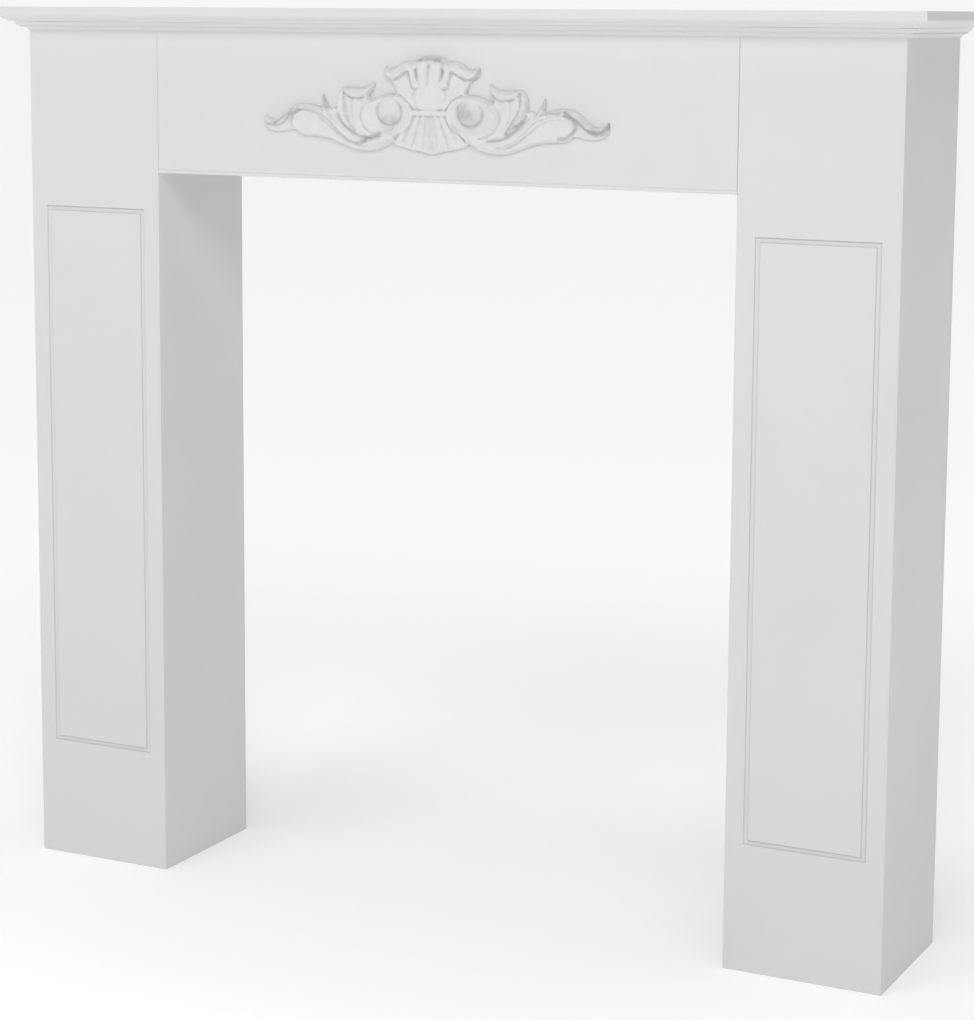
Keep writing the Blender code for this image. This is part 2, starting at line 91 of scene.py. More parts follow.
camera_data = bpy.data.cameras.new("camera")
camera_data.sensor_width = SENSOR_SIZE
camera_data.lens = FOCAL_PIXELS * SENSOR_SIZE / PICTURE_HEIGHT
camera_data.shift_x = (PICTURE_WIDTH / 2 - AXIS_PIXEL[0]) / PICTURE_HEIGHT
camera_data.shift_y = (AXIS_PIXEL[1] - PICTURE_HEIGHT / 2) / PICTURE_HEIGHT
camera = bpy.data.objects.new("camera", camera_data)
bpy.context.scene.collection.objects.link(camera)
aim = Matrix.Rotation(CAMERA_TURN, 4, "Z") @ Matrix.Rotation(math.pi / 2 + CAMERA_TILT, 4, "X")
camera.matrix_world = Matrix.Translation(CAMERA_PLACE) @ aim @ Matrix.Rotation(CAMERA_ROLL, 4, "Z")
bpy.context.scene.camera = camera
print(f"lens {camera_data.lens:.1f} mm, shift {camera_data.shift_x:.3f}, {camera_data.shift_y:.3f}")

# %% [markdown]
# ## Shader sums in plain Python
#
# A finish is a sum of patterns: a base colour, a little more grey here, a little less gloss
# there. In the node editor each plus sign is a node. The two small classes below let the sums be
# written as sums. `Wire` is the output of a node, and adding or multiplying wires adds Math
# nodes. `Finish` is one material, and its `node` method adds any other node.


# %% Two helpers for writing finishes
class Wire:
    """The output of a node, which can be used in sums."""

    def __init__(self, finish, socket):
        self.finish = finish
        self.socket = socket

    def _math(self, operation, first, second):
        sockets = {0: first, 1: second}
        return self.finish.node("ShaderNodeMath", {"operation": operation}, sockets)

    def __add__(self, other):
        return self._math("ADD", self, other)

    def __radd__(self, other):
        return self._math("ADD", other, self)

    def __sub__(self, other):
        return self._math("SUBTRACT", self, other)

    def __rsub__(self, other):
        return self._math("SUBTRACT", other, self)

    def __mul__(self, other):
        return self._math("MULTIPLY", self, other)

    def __rmul__(self, other):
        return self._math("MULTIPLY", other, self)


# The Mix node has one pair of sockets for each kind of data. These are the ones for colours.
MIX_COLOURS = (6, 7)
MIX_COLOUR_RESULT = 2


class Finish:
    """One material, with short ways to add nodes to it."""

    def __init__(self, name):
        self.material = bpy.data.materials.new(name)
        self.material.use_nodes = True
        self.tree = self.material.node_tree
        self.shader = self.tree.nodes["Principled BSDF"]
        self.place = self.node("ShaderNodeTexCoord", output="Object")

    def node(self, kind, settings=None, sockets=None, output=0):
        """Adds a node: its settings first, then the values or wires of its sockets."""
        made = self.tree.nodes.new(kind)
        for name, value in (settings or {}).items():
            setattr(made, name, value)
        for name, value in (sockets or {}).items():
            self.feed(made.inputs[name], value)
        return Wire(self, made.outputs[output])

    def feed(self, socket, value):
        """Gives a socket a wire or a plain value."""
        if isinstance(value, Wire):
            self.tree.links.new(value.socket, socket)
        else:
            socket.default_value = value

    def noise(self, size, detail=3.0, stretch=(1.0, 1.0, 1.0), shift=(0.0, 0.0, 0.0)):
        """Cloudy noise from 0 to 1, whose clouds are about the given size in metres."""
        spot = {"Vector": self.place, "Location": shift, "Scale": stretch}
        where = self.node("ShaderNodeMapping", None, spot)
        sockets = {"Vector": where, "Scale": 1.0 / size, "Detail": detail}
        return self.node("ShaderNodeTexNoise", None, sockets, "Fac")

    def ramp(self, value, low, high):
        """0 where the value is under low, 1 over high, and a soft step between."""
        sockets = {"Value": value, "From Min": low, "From Max": high}
        return self.node("ShaderNodeMapRange", {"interpolation_type": "SMOOTHSTEP"}, sockets, "Result")

    def blend(self, share, first, second):
        """Mixes two colours by a share from 0 to 1."""
        sockets = {"Factor": share, MIX_COLOURS[0]: first, MIX_COLOURS[1]: second}
        return self.node("ShaderNodeMix", {"data_type": "RGBA"}, sockets, MIX_COLOUR_RESULT)

    def marked(self, name):
        """The value of an attribute that was painted on the mesh."""
        return self.node("ShaderNodeAttribute", {"attribute_name": name}, None, "Fac")

    def bump(self, height, depth, strength=1.0, under=None):
        """Turns a height pattern into small bumps, on top of another bump if one is given."""
        sockets = {"Height": height, "Distance": depth, "Strength": strength}
        if under is not None:
            sockets["Normal"] = under
        return self.node("ShaderNodeBump", None, sockets, "Normal")

    def set(self, **sockets):
        """Sets the shader's own sockets, named with underscores for spaces."""
        for name, value in sockets.items():
            self.feed(self.shader.inputs[name.replace("_", " ")], value)
        return self.material


print("helpers ready")

# %% [markdown]
# ## Satin white paint
#
# The boards are smooth fibreboard under sprayed satin paint. Up close it is never one flat
# white: the coat is a touch thinner in places, the spray leaves a very fine orange peel, and the
# gloss wanders a little. Where a cut edge turns to the wall the coat stops, and the brown board
# shows through a ragged edge. Faces that nobody sees got one thin coat of primer.
#
# The pieces carry a mark on their faces that says which is which: 0 is fully painted, 0.5 is
# primed, 0.78 is a sanded edge that is half bare, and 1 is bare board. A noise pattern breaks the
# boundary up. Marks from 0 to 0.1 grow greyer: that is painted shade in a routed line, under its
# upper and right walls.

# %% Mix the satin paint
PAINT_WHITE = (0.752, 0.752, 0.751, 1.0)
PAINT_SHADE = (0.736, 0.736, 0.734, 1.0)
# Painted shade: the grey that the routed lines darken to under their upper and right walls.
GROOVE_SHADE_GREY = (0.500, 0.500, 0.498, 1.0)
BOARD_BROWN = (0.430, 0.315, 0.215, 1.0)
BOARD_DARK = (0.300, 0.205, 0.130, 1.0)
PRIMER_PALE = (0.690, 0.670, 0.630, 1.0)
PRIMER_THIN = (0.630, 0.590, 0.525, 1.0)
GROOVE_SHADE_MARK = 0.1
PRIMED_MARK = 0.5
SANDED_MARK = 0.78
BARE_MARK = 1.0
PRIMED_FROM, PRIMED_TO = 0.2, 0.3
BARE_FROM, BARE_TO = 0.72, 0.82
CLOUD_SIZE = 0.22
PRIMER_CLOUD_SIZE = 0.05
RAGGED_SIZE = 0.004
FIBRE_SIZE = 0.0025
PEEL_SIZE = 0.0016
FIBRE_STRETCH = (1.0, 1.0, 0.12)
PAINT_ROUGHNESS = 0.44
GLOSS_WANDER = 0.12
PRIMER_ROUGHER = 0.3
PEEL_DEPTH = 0.00006
FIBRE_DEPTH = 0.0002


def satin_paint():
    """White satin paint that stops at the cut edges and thins to primer on hidden faces."""
    finish = Finish("satin_white_paint")
    clouds = finish.noise(CLOUD_SIZE)
    peel = finish.noise(PEEL_SIZE, detail=1.0)
    fibres = finish.noise(FIBRE_SIZE, stretch=FIBRE_STRETCH)
    coat = finish.blend(finish.ramp(clouds, 0.35, 0.7), PAINT_WHITE, PAINT_SHADE)
    mark = finish.marked("board_face")
    # Painted shade in the routed lines: marks under 0.1 blend the coat towards grey.
    coat = finish.blend(mark * (1 / GROOVE_SHADE_MARK), coat, GROOVE_SHADE_GREY)
    ragged = (finish.noise(RAGGED_SIZE) - 0.5) * 0.5
    bare = finish.ramp(mark + ragged, BARE_FROM, BARE_TO)
    primed = finish.ramp(mark, PRIMED_FROM, PRIMED_TO)
    worn = finish.ramp(finish.noise(PRIMER_CLOUD_SIZE), 0.35, 0.75)
    primer = finish.blend(worn, PRIMER_PALE, PRIMER_THIN)
    board = finish.blend(finish.ramp(fibres, 0.3, 0.75), BOARD_BROWN, BOARD_DARK)
    colour = finish.blend(bare, finish.blend(primed, coat, primer), board)
    gloss = PAINT_ROUGHNESS + (clouds - 0.5) * GLOSS_WANDER + primed * PRIMER_ROUGHER
    fine = finish.bump(peel, PEEL_DEPTH, 0.5)
    rough = finish.bump(fibres * primed, FIBRE_DEPTH, 0.6, fine)
    return finish.set(Base_Color=colour, Roughness=gloss, Normal=rough)


SATIN_PAINT = satin_paint()
print("mixed", SATIN_PAINT.name)

# %% [markdown]
# ## Making a board
#
# Almost every piece here is a length of one section: a board, a mitred board or a moulding. The
# short way to make one is to draw the section as a single face and extrude it. Two things keep it
# from looking like a computer's box. Edges get a tiny round, because sandpaper and paint take the
# sharpness off any arris. And the shading is weighted by face area, so that the big flat faces
# stay flat right up to the rounded edge.

# %% Helpers for boards
JOINT_GAP = 0.0003
EDGE_SEGMENTS = 3
SHARP_ANGLE = math.radians(35)
HALF = 0.5


def sweep(section, travel):
    """Extrudes a section, given as 3-D points, along a travel vector."""
    bm = bmesh.new()
    face = bm.faces.new([bm.verts.new(point) for point in section])
    swept = bmesh.ops.extrude_face_region(bm, geom=[face])
    far = [item for item in swept["geom"] if isinstance(item, bmesh.types.BMVert)]
    bmesh.ops.translate(bm, vec=travel, verts=far)
    return bm


def ease(bm, edges, radius):
    """Rounds edges off."""
    bmesh.ops.bevel(
        bm,
        geom=edges,
        offset=radius,
        segments=EDGE_SEGMENTS,
        profile=0.5,
        affect="EDGES",
        material=-1,
        clamp_overlap=True,
    )


def mark_faces(bm, rule):
    """Writes the paint mark on every face: the rule gets its middle and its normal."""
    layer = bm.faces.layers.float.new("board_face")
    for face in bm.faces:
        face[layer] = rule(face.calc_center_median(), face.normal)


def finished(name, bm, material, smooth_angle=SHARP_ANGLE):
    """Makes the piece, paints it, and lets it stand for the measured board of that name."""
    bm.normal_update()
    mesh = bpy.data.meshes.new(name)
    bm.to_mesh(mesh)
    bm.free()
    mesh.shade_smooth()
    mesh.set_sharp_from_angle(angle=smooth_angle)
    mesh.materials.append(material)
    piece = bpy.data.objects.new(name + "_painted", mesh)
    bpy.context.scene.collection.objects.link(piece)
    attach(piece, "root")
    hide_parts(name)
    print(f"{piece.name}: {len(mesh.polygons)} faces")
    return piece


def weigh_shading(piece):
    """Keeps the large flat faces flat next to their rounded edges."""
    weighted = piece.modifiers.new("flat faces stay flat", "WEIGHTED_NORMAL")
    weighted.keep_sharp = True
    return piece


def rounded_turn(centre, radius, start, end, steps=4):
    """Points on an arc in a flat section, from one angle to another in degrees."""
    turns = (math.radians(start + (end - start) * step / steps) for step in range(steps + 1))
    return [(centre[0] + radius * math.sin(turn), centre[1] - radius * math.cos(turn)) for turn in turns]


# %% [markdown]
# ## The legs
#
# Each leg is a box of three boards, open to the wall. The long edges where they meet are mitred
# at 45 degrees and glued, so the outside corner is one crisp, barely rounded line with no joint
# on either face. Each board therefore carries half of that rounded corner. The back edges were
# never meant to be seen: they are cut square and left bare.
#
# A router cut the fine panel line into each front. Here the front face is inset again and again,
# each ring a little deeper than the last, then level, then back up. What is left is a narrow
# channel with soft shoulders round a flat field, and no second object had to be cut away.

# %% Make the six leg boards
BOARD_THICKNESS = 0.016
CORNER_RADIUS = 0.0004
GLUE_LINE = 0.00004
BACK_ARRIS = 0.0009
GROOVE_SIDE_MARGIN = 0.020
GROOVE_FOOT_MARGIN = 0.1375
GROOVE_HEAD_MARGIN = 0.210
GROOVE_WIDTH = 0.006
GROOVE_FLOOR = 0.0040
GROOVE_DEPTH = 0.0018
GROOVE_STEPS = 6
FLOOR_STRIPS = 4
FLOOR_FACING = -0.9
GROOVE_SHADE_REACH = 0.0024
WALL_SHADE_SHARE = 0.25
GROOVE_SHADE_SHARES = {"left": 0.7, "right": 0.7, "foot": 1.0, "head": 1.0}
WALL_PLANE = measured_box[1].y
BACK_FACING = 0.7


def paint_mark(hidden):
    """A rule that leaves back edges bare and gives hidden faces primer only."""

    def rule(middle, normal):
        if normal.y > BACK_FACING and middle.y > WALL_PLANE - 2 * BACK_ARRIS:
            return BARE_MARK
        if middle.y > WALL_PLANE - BACK_ARRIS:
            return SANDED_MARK
        return PRIMED_MARK if normal.dot(hidden) > HALF else 0.0

    return rule


def rout_panel_line(bm, face, low, high):
    """Cuts the routed line into a leg's front face, as one ring with soft shoulders."""
    bmesh.ops.inset_individual(bm, faces=[face], thickness=GROOVE_SIDE_MARGIN / 2)
    middle = (low + high) / 2
    for vertex in face.verts:
        side = math.copysign((high.x - low.x) / 2 - GROOVE_SIDE_MARGIN, vertex.co.x - middle.x)
        vertex.co.x = middle.x + side
        upper = vertex.co.z > middle.z
        vertex.co.z = high.z - GROOVE_HEAD_MARGIN if upper else low.z + GROOVE_FOOT_MARGIN
    slope = (GROOVE_WIDTH - GROOVE_FLOOR) / 2 / GROOVE_STEPS
    shares = [step / GROOVE_STEPS for step in range(GROOVE_STEPS + 1)]
    levels = [GROOVE_DEPTH * share * share * (3 - 2 * share) for share in shares]
    drops = [after - before for before, after in zip(levels, levels[1:])]
    steps = [(slope, -drop) for drop in drops]
    steps += [(GROOVE_FLOOR / FLOOR_STRIPS, 0)] * FLOOR_STRIPS
    steps += [(slope, drop) for drop in reversed(drops)]
    for width, rise in steps:
        inset = {"thickness": width, "depth": rise, "use_even_offset": True}
        bmesh.ops.inset_individual(bm, faces=[face], **inset)


def routed_mark(hidden, low, high):
    """The rule for a leg's front: it also paints shade into the routed line under its upper and right
    walls.
    """
    others = paint_mark(hidden)

    def rule(middle, normal):
        gaps = {
            "left": middle.x - low.x - GROOVE_SIDE_MARGIN,
            "right": high.x - GROOVE_SIDE_MARGIN - middle.x,
            "foot": middle.z - low.z - GROOVE_FOOT_MARGIN,
            "head": high.z - GROOVE_HEAD_MARGIN - middle.z,
        }
        side = min(gaps, key=gaps.get)
        if not (0 < gaps[side] < GROOVE_WIDTH and middle.y < low.y + 2 * GROOVE_DEPTH):
            return others(middle, normal)
        # Painted shade: strongest on the groove's floor next to its upper and right-hand walls, fainter on
        # the walls.
        from_wall = gaps[side] if side in ("right", "head") else GROOVE_WIDTH - gaps[side]
        groove_shade = max(1 - from_wall / GROOVE_SHADE_REACH, WALL_SHADE_SHARE if normal.y > FLOOR_FACING else 0.0)
        return GROOVE_SHADE_MARK * GROOVE_SHADE_SHARES[side] * groove_shade

    return rule


def leg_front(hand):
    """The front board: two mitred long edges and the routed panel line."""
    name = f"{hand}_leg_front_board"
    low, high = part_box(name)
    left = low.x - JOINT_GAP / math.sqrt(2)
    right = high.x + JOINT_GAP / math.sqrt(2)
    inner = CORNER_RADIUS
    corner = rounded_turn((right - inner, inner), inner, 0, 45)
    corner = [(x - GLUE_LINE, y) for x, y in corner]
    back = right - BOARD_THICKNESS - GLUE_LINE
    half_section = corner + [(back, BOARD_THICKNESS)]
    section = half_section + [(left + right - x, y) for x, y in reversed(half_section)]
    bm = sweep([(x, low.y + y, low.z) for x, y in section], (0, 0, high.z - low.z))
    bmesh.ops.recalc_face_normals(bm, faces=bm.faces)
    front = min(bm.faces, key=lambda face: (round(face.calc_center_median().y, 5), -face.calc_area()))
    rout_panel_line(bm, front, Vector((left, low.y, low.z)), Vector((right, low.y, high.z)))
    mark_faces(bm, routed_mark(Vector((0, 1, 0)), low, high))
    return weigh_shading(finished(name, bm, SATIN_PAINT))


def leg_side(hand, place, outward):
    """A side board: mitred along its front edge, cut square and left bare along its back."""
    name = f"{hand}_leg_{place}_board"
    low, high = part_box(name)
    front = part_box(f"{hand}_leg_front_board")[0].y
    face = high.x if outward > 0 else low.x
    depth = high.y - front
    section = rounded_turn((-CORNER_RADIUS, CORNER_RADIUS), CORNER_RADIUS, 45, 90)
    section = [(x, y + GLUE_LINE) for x, y in section]
    section += [(0, depth - BACK_ARRIS), (-BACK_ARRIS, depth)]
    section += [(BACK_ARRIS - BOARD_THICKNESS, depth), (-BOARD_THICKNESS, depth - BACK_ARRIS)]
    section += [(-BOARD_THICKNESS, BOARD_THICKNESS + GLUE_LINE)]
    points = [(face + outward * x, front + y, low.z) for x, y in section]
    bm = sweep(points, (0, 0, high.z - low.z))
    bmesh.ops.recalc_face_normals(bm, faces=bm.faces)
    mark_faces(bm, paint_mark(Vector((-outward, 0, 0))))
    return weigh_shading(finished(name, bm, SATIN_PAINT))


for hand, side in (("left", -1), ("right", 1)):
    leg_front(hand)
    leg_side(hand, "outer", side)
    leg_side(hand, "inner", -side)

# %% [markdown]
# ## The frieze board
#
# The board between the legs is plain, apart from a hair-thin scratched line just above its lower
# edge. It is glued between the legs flush with their faces. Such a butt joint always shows as a
# fine upright seam, and on the real piece the right one has opened a little more than the left.

# %% Make the frieze board
BEAD_HEIGHT = 0.004
BEAD_LINE_WIDTH = 0.0012
BEAD_LINE_DEPTH = 0.0006
LOWER_ARRIS = 0.0008
SEAM_ROUND = {"left": 0.0001, "right": 0.00015}
TOUCHING = 0.00001


def frieze_board():
    """A plain board with a scratched bead line and softened ends."""
    low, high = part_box("frieze_board")
    line = low.z + BEAD_HEIGHT
    section = rounded_turn((low.y + LOWER_ARRIS, low.z + LOWER_ARRIS), LOWER_ARRIS, 0, -90)
    section += [(low.y, line - BEAD_LINE_WIDTH / 2), (low.y + BEAD_LINE_DEPTH, line)]
    section += [(low.y, line + BEAD_LINE_WIDTH / 2)]
    section += [(low.y, high.z), (high.y, high.z), (high.y, low.z)]
    bm = sweep([(low.x, y, z) for y, z in section], (high.x - low.x, 0, 0))
    bmesh.ops.recalc_face_normals(bm, faces=bm.faces)
    middle = (low.z + high.z) / 2
    for hand, end in (("left", low.x), ("right", high.x)):
        seam = [
            edge
            for edge in bm.edges
            if all(abs(v.co.x - end) + abs(v.co.y - low.y) < TOUCHING for v in edge.verts)
            and (edge.verts[0].co.z - middle) * (edge.verts[1].co.z - middle) < 0
        ]
        ease(bm, seam, SEAM_ROUND[hand])
    mark_faces(bm, paint_mark(Vector((0, 1, 0))))
    return weigh_shading(finished("frieze_board", bm, SATIN_PAINT))


frieze_board()

# %% [markdown]
# ## The mantel shelf
#
# The shelf is one board. A router cut its edge into a small ogee, an S-shaped curve, under a
# square nosing, round the front and both ends. The corners of such a run are crisp mitres. To
# make it, a flat rectangle the size of the underside is extruded upwards again and again, and
# at each step the new rectangle grows or shrinks as the edge's curve says. The wall side stays
# where it is, because nothing is moulded there.

# %% Make the shelf
SHELF_THICKNESS = 0.0165
NOSING_HEIGHT = 0.009
NOSING_RETREAT = 0.010
NOSING_ROUND = 0.0009
OGEE_SWING = 0.09
OGEE_STEPS = 20


def shelf_edge():
    """(retreat from the nosing, height) along the shelf's edge, from its underside up."""
    rise = SHELF_THICKNESS - NOSING_HEIGHT
    rows = []
    for step in range(OGEE_STEPS + 1):
        share = step / OGEE_STEPS
        swing = OGEE_SWING * math.sin(2 * math.pi * share)
        rows.append((NOSING_RETREAT * (1 - share), rise * (share + swing)))
    turn = rounded_turn((-NOSING_ROUND, SHELF_THICKNESS - NOSING_ROUND), NOSING_ROUND, 90, 180)
    return rows + [(-out, height) for out, height in turn]


def mantel_shelf():
    """The shelf, grown upwards from its underside along its edge's curve."""
    low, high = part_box("mantel_shelf")
    bm = bmesh.new()
    bmesh.ops.create_grid(bm, x_segments=1, y_segments=1, size=1.0)
    bm.faces.ensure_lookup_table()
    face = bm.faces[0]
    for index, (retreat, height) in enumerate(shelf_edge()):
        if index:
            swept = bmesh.ops.extrude_face_region(bm, geom=[face])
            bmesh.ops.delete(bm, geom=[face], context="FACES_ONLY")
            face = next(item for item in swept["geom"] if isinstance(item, bmesh.types.BMFace))
        middle = face.calc_center_median().y
        for vertex in face.verts:
            vertex.co.x = math.copysign(high.x - retreat, vertex.co.x)
            vertex.co.y = high.y if vertex.co.y > middle else low.y + retreat
            vertex.co.z = low.z + height
    bmesh.ops.holes_fill(bm, edges=bm.edges, sides=4)
    bmesh.ops.recalc_face_normals(bm, faces=bm.faces)
    mark_faces(bm, paint_mark(Vector((0, 1, 0))))
    return weigh_shading(finished("mantel_shelf", bm, SATIN_PAINT))


mantel_shelf()

# %% [markdown]
# ## The bed moulding
#
# A thin moulding hides the joint between shelf and boards: a top band that leans in, a step, a
# small fillet and a hollow, called a cove. It runs along the front and back along both sides,
# with a mitre at each corner. The section is drawn once. After the sweep, the points at each end
# are slid along the run by as much as they stand out, which cuts the mitre.

# %% Make the three lengths of bed moulding
BED_HEIGHT = 0.0098
BED_PROJECTION = 0.0127
BED_BAND_HEIGHT = 0.0033
BED_BAND_LEAN = 0.0024
BED_STEP = 0.0026
BED_STEP_HEIGHT = 0.0009
BED_FILLET_HEIGHT = 0.0017
BED_FILLET_STEP = 0.0006
BED_TOE = 0.0006
COVE_STEPS = 12
MITRE_CLOSING = 0.00008


def bed_section():
    """(out, down) round the moulding's section, from its top back corner to its toe."""
    band_out = BED_PROJECTION - BED_BAND_LEAN
    fillet_out = band_out - BED_STEP
    fillet_top = BED_BAND_HEIGHT + BED_STEP_HEIGHT
    cove_out = fillet_out - BED_FILLET_STEP
    cove_top = fillet_top + BED_FILLET_HEIGHT
    rows = [(0.0, 0.0), (BED_PROJECTION, 0.0), (band_out, BED_BAND_HEIGHT)]
    rows += [(fillet_out, fillet_top), (fillet_out, cove_top)]
    for step in range(COVE_STEPS + 1):
        turn = math.pi / 2 * step / COVE_STEPS
        out = cove_out - (cove_out - BED_TOE) * math.sin(turn)
        rows.append((out, BED_HEIGHT - (BED_HEIGHT - cove_top) * math.cos(turn)))
    return rows + [(0.0, BED_HEIGHT)]


def bed_front():
    """The front length, mitred at both ends."""
    low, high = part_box("bed_moulding_front")
    bm = sweep([(-1, high.y - out, high.z - down) for out, down in bed_section()], (2, 0, 0))
    for vertex in bm.verts:
        out = high.y - vertex.co.y
        vertex.co.x *= high.x - (BED_PROJECTION - out) + MITRE_CLOSING
    return bm


def bed_return(hand, side):
    """A return along the side, mitred at its front and cut square at the wall."""
    low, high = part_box(f"bed_moulding_{hand}")
    root = low.x if side > 0 else high.x
    section = [(root + side * out, 0, high.z - down) for out, down in bed_section()]
    bm = sweep(section, (0, 1, 0))
    for vertex in bm.verts:
        out = side * (vertex.co.x - root)
        mitre = low.y + (BED_PROJECTION - out) - MITRE_CLOSING
        vertex.co.y = high.y if vertex.co.y > HALF else mitre
    return bm


lengths = {"front": bed_front(), "left": bed_return("left", -1), "right": bed_return("right", 1)}
for hand, bm in lengths.items():
    bmesh.ops.recalc_face_normals(bm, faces=bm.faces)
    mark_faces(bm, paint_mark(Vector((0, 1, 0))))
    weigh_shading(finished(f"bed_moulding_{hand}", bm, SATIN_PAINT))

# %% [markdown]
# ## The carved ornament
#
# Ornaments like this are pressed or cast from a carved master and glued on. Seen as a map, the
# carving is a height over the board for every point: low relief has no undercuts worth the
# trouble. A carver lays it out as strokes, each a leaf, a ribbon or a rib with its own middle
# line, width and hollow, and each new stroke either stands over what lies under it or dies away
# into it. The function `carve` does the same. It takes the higher of what is there and the new
# stroke, and cuts a fine knife line round the stroke to set it off.
#
# All sizes are in millimetres on a sheet whose middle line is x = 0 and whose foot is z = 0. The
# right half is drawn, and the left half is its mirror.

# %% The carver's stroke
SHEET_WIDTH = 416.0
SHEET_HEIGHT = 106.0
SHEET_RELIEF = 21.0
SHEET_MARGIN = 6.0
SHEET_GROUND = -6.0
WALL_SLOPE = 9.0
LEAST_HALF_WIDTH = 0.3
SOFT_EDGE_START = 0.75
SLIM_HALF_WIDTH = 3.0


def smooth_path(rows, per_span=6):
    """A smooth run of points through the given rows (a Catmull-Rom curve)."""
    points = np.array(rows, float)
    points = np.vstack([2 * points[0] - points[1], points, 2 * points[-1] - points[-2]])
    made = []
    for a, b, c, d in zip(points, points[1:], points[2:], points[3:]):
        t = np.linspace(0, 1, per_span, endpoint=False)[:, None]
        cubic = 3 * b - a - 3 * c + d
        made.append(0.5 * (2 * b + (c - a) * t + (2 * a - 5 * b + 4 * c - d) * t**2 + cubic * t**3))
    made.append(points[-2][None])
    return np.vstack(made)


def spread(values, count):
    """A few values spaced evenly along a stroke, read smoothly at each of its points."""
    curve = smooth_path([(value,) for value in values], 12)[:, 0]
    return np.interp(np.linspace(0, 1, count), np.linspace(0, 1, len(curve)), curve)


def carve(ground, x, z, path, widths, heights, scoop=0.0, lean=0.0, cut=1.4, soften=0.25):
    """Lays one stroke of carving over the ground: a leaf, a ribbon or a rib.

    The path is its middle line, widths are half widths and heights are the relief of its edges.
    Scoop hollows it, or crowns it where negative, lean tips it to one side, and soften rounds its
    edges. Cut is the depth of the knife line that sets it off where it stands over its ground.
    """
    line = smooth_path(path)
    half_widths = np.maximum(spread(widths, len(line)), LEAST_HALF_WIDTH)
    rises = spread(heights, len(line))
    nearest = np.full(x.shape, np.inf)
    hand, half, rise = np.zeros_like(x), np.ones_like(x), np.zeros_like(x)
    for i in range(len(line) - 1):
        (x0, z0), (dx, dz) = line[i], line[i + 1] - line[i]
        t = np.clip(((x - x0) * dx + (z - z0) * dz) / (dx * dx + dz * dz), 0, 1)
        ex, ez = x - x0 - t * dx, z - z0 - t * dz
        distance = np.hypot(ex, ez)
        closer = distance < nearest
        nearest = np.where(closer, distance, nearest)
        hand = np.where(closer, np.sign(dx * ez - dz * ex), hand)
        half = np.where(closer, half_widths[i] + t * (half_widths[i + 1] - half_widths[i]), half)
        rise = np.where(closer, rises[i] + t * (rises[i + 1] - rises[i]), rise)
    share = np.clip(nearest / half, 0, 1)
    outside = np.maximum(nearest - half, 0)
    form = rise * (1 + lean * hand * share + scoop * (share**2 - 1))
    edge = np.clip((share - SOFT_EDGE_START) / (1 - SOFT_EDGE_START), 0, 1)
    form -= soften * rise * edge**2 * np.clip(half / SLIM_HALF_WIDTH, 0, 1)
    knife = cut * np.exp(-(outside**2)) * (outside > 0) * np.clip(0.5 + (form - ground) / 2, 0, 1)
    return np.maximum(ground - knife, form - WALL_SLOPE * outside)


# %% [markdown]
# ### The scroll and its leaves
#
# From the outside in: the hooked leaf at the tip, the long arm with its hollow paddle, the leaves
# that stand up behind the scroll, and the scroll's cup with a ball in its eye.

# %% Strokes of the scroll
def carve_end_leaf(relief, x, z):
    """The leaf at the tip of the arm: a blade under a rolled upper lip, hooked at its end."""
    blade = [(166, 33), (180, 29.5), (190, 27.2), (198, 27.6), (203.8, 32.5), (206, 37.5)]
    relief = carve(relief, x, z, blade, (8, 6.8, 5.2, 4.2, 1), (7, 8.5, 8.5, 7), 0.18)
    lip = [(134, 46.6), (146, 49), (157, 49.6), (167, 47.6), (175, 43.2), (181.5, 37), (188.5, 32.4)]
    lip += [(196.5, 31.8), (202.5, 34.3), (206, 39)]
    widths = (1.0, 2.4, 2.7, 2.9, 2.8, 2.3, 0.8)
    return carve(relief, x, z, lip, widths, (12, 13, 12.5, 11.5, 10.5, 8), 0, -0.2, 2)


def carve_scroll_arm(relief, x, z):
    """The long arm: a spoon-shaped paddle, and the ribbon that sweeps from it under the scroll."""
    paddle = [(155, 32), (141, 30.6), (124, 25.2), (108, 17.4), (92, 11), (76, 9), (60, 11.5), (46, 18)]
    widths = (13.6, 12.8, 9.4, 6.8, 5.8, 5.2, 4.6, 3)
    relief = carve(relief, x, z, paddle, widths, (10.5, 11, 11.5, 12.5, 12.5), 0.16, 0, 0, 0.1)
    rim = [(122, 39.5), (132, 42.4), (145, 44.2), (157, 43.6), (165, 39.2), (168, 32.2), (165, 25.4)]
    relief = carve(relief, x, z, rim, (0.8, 1.5, 1.5, 1.4, 0.7), (11.5, 12, 12, 11.5), 0, 0, 0.7)
    web = [(119, 47.5), (111, 38.5), (99, 28), (86, 20)]
    relief = carve(relief, x, z, web, (2, 6, 6, 3), (6, 8, 10.5), 0.2, cut=0.4)
    spike = [(133.3, 62.5), (131, 53), (123.5, 42), (108, 28.5), (92, 19), (80, 15.5)]
    relief = carve(relief, x, z, spike, (0.9, 2.7, 3.2, 2.6, 1.5), (8, 11, 12, 9), 0.2, 0.15, 1.2)
    ribbon = [(158, 47.8), (145, 46.2), (128, 39.5), (109, 26), (90, 14.8), (70, 12.6), (51, 18.5)]
    ribbon += [(36, 29), (24, 43)]
    widths = (1.2, 2.9, 3.8, 4.0, 3.9, 3.4, 2.2)
    return carve(relief, x, z, ribbon, widths, (11.5, 13, 14, 15, 14), 0.04, 0.1, 1.5, 0.15)


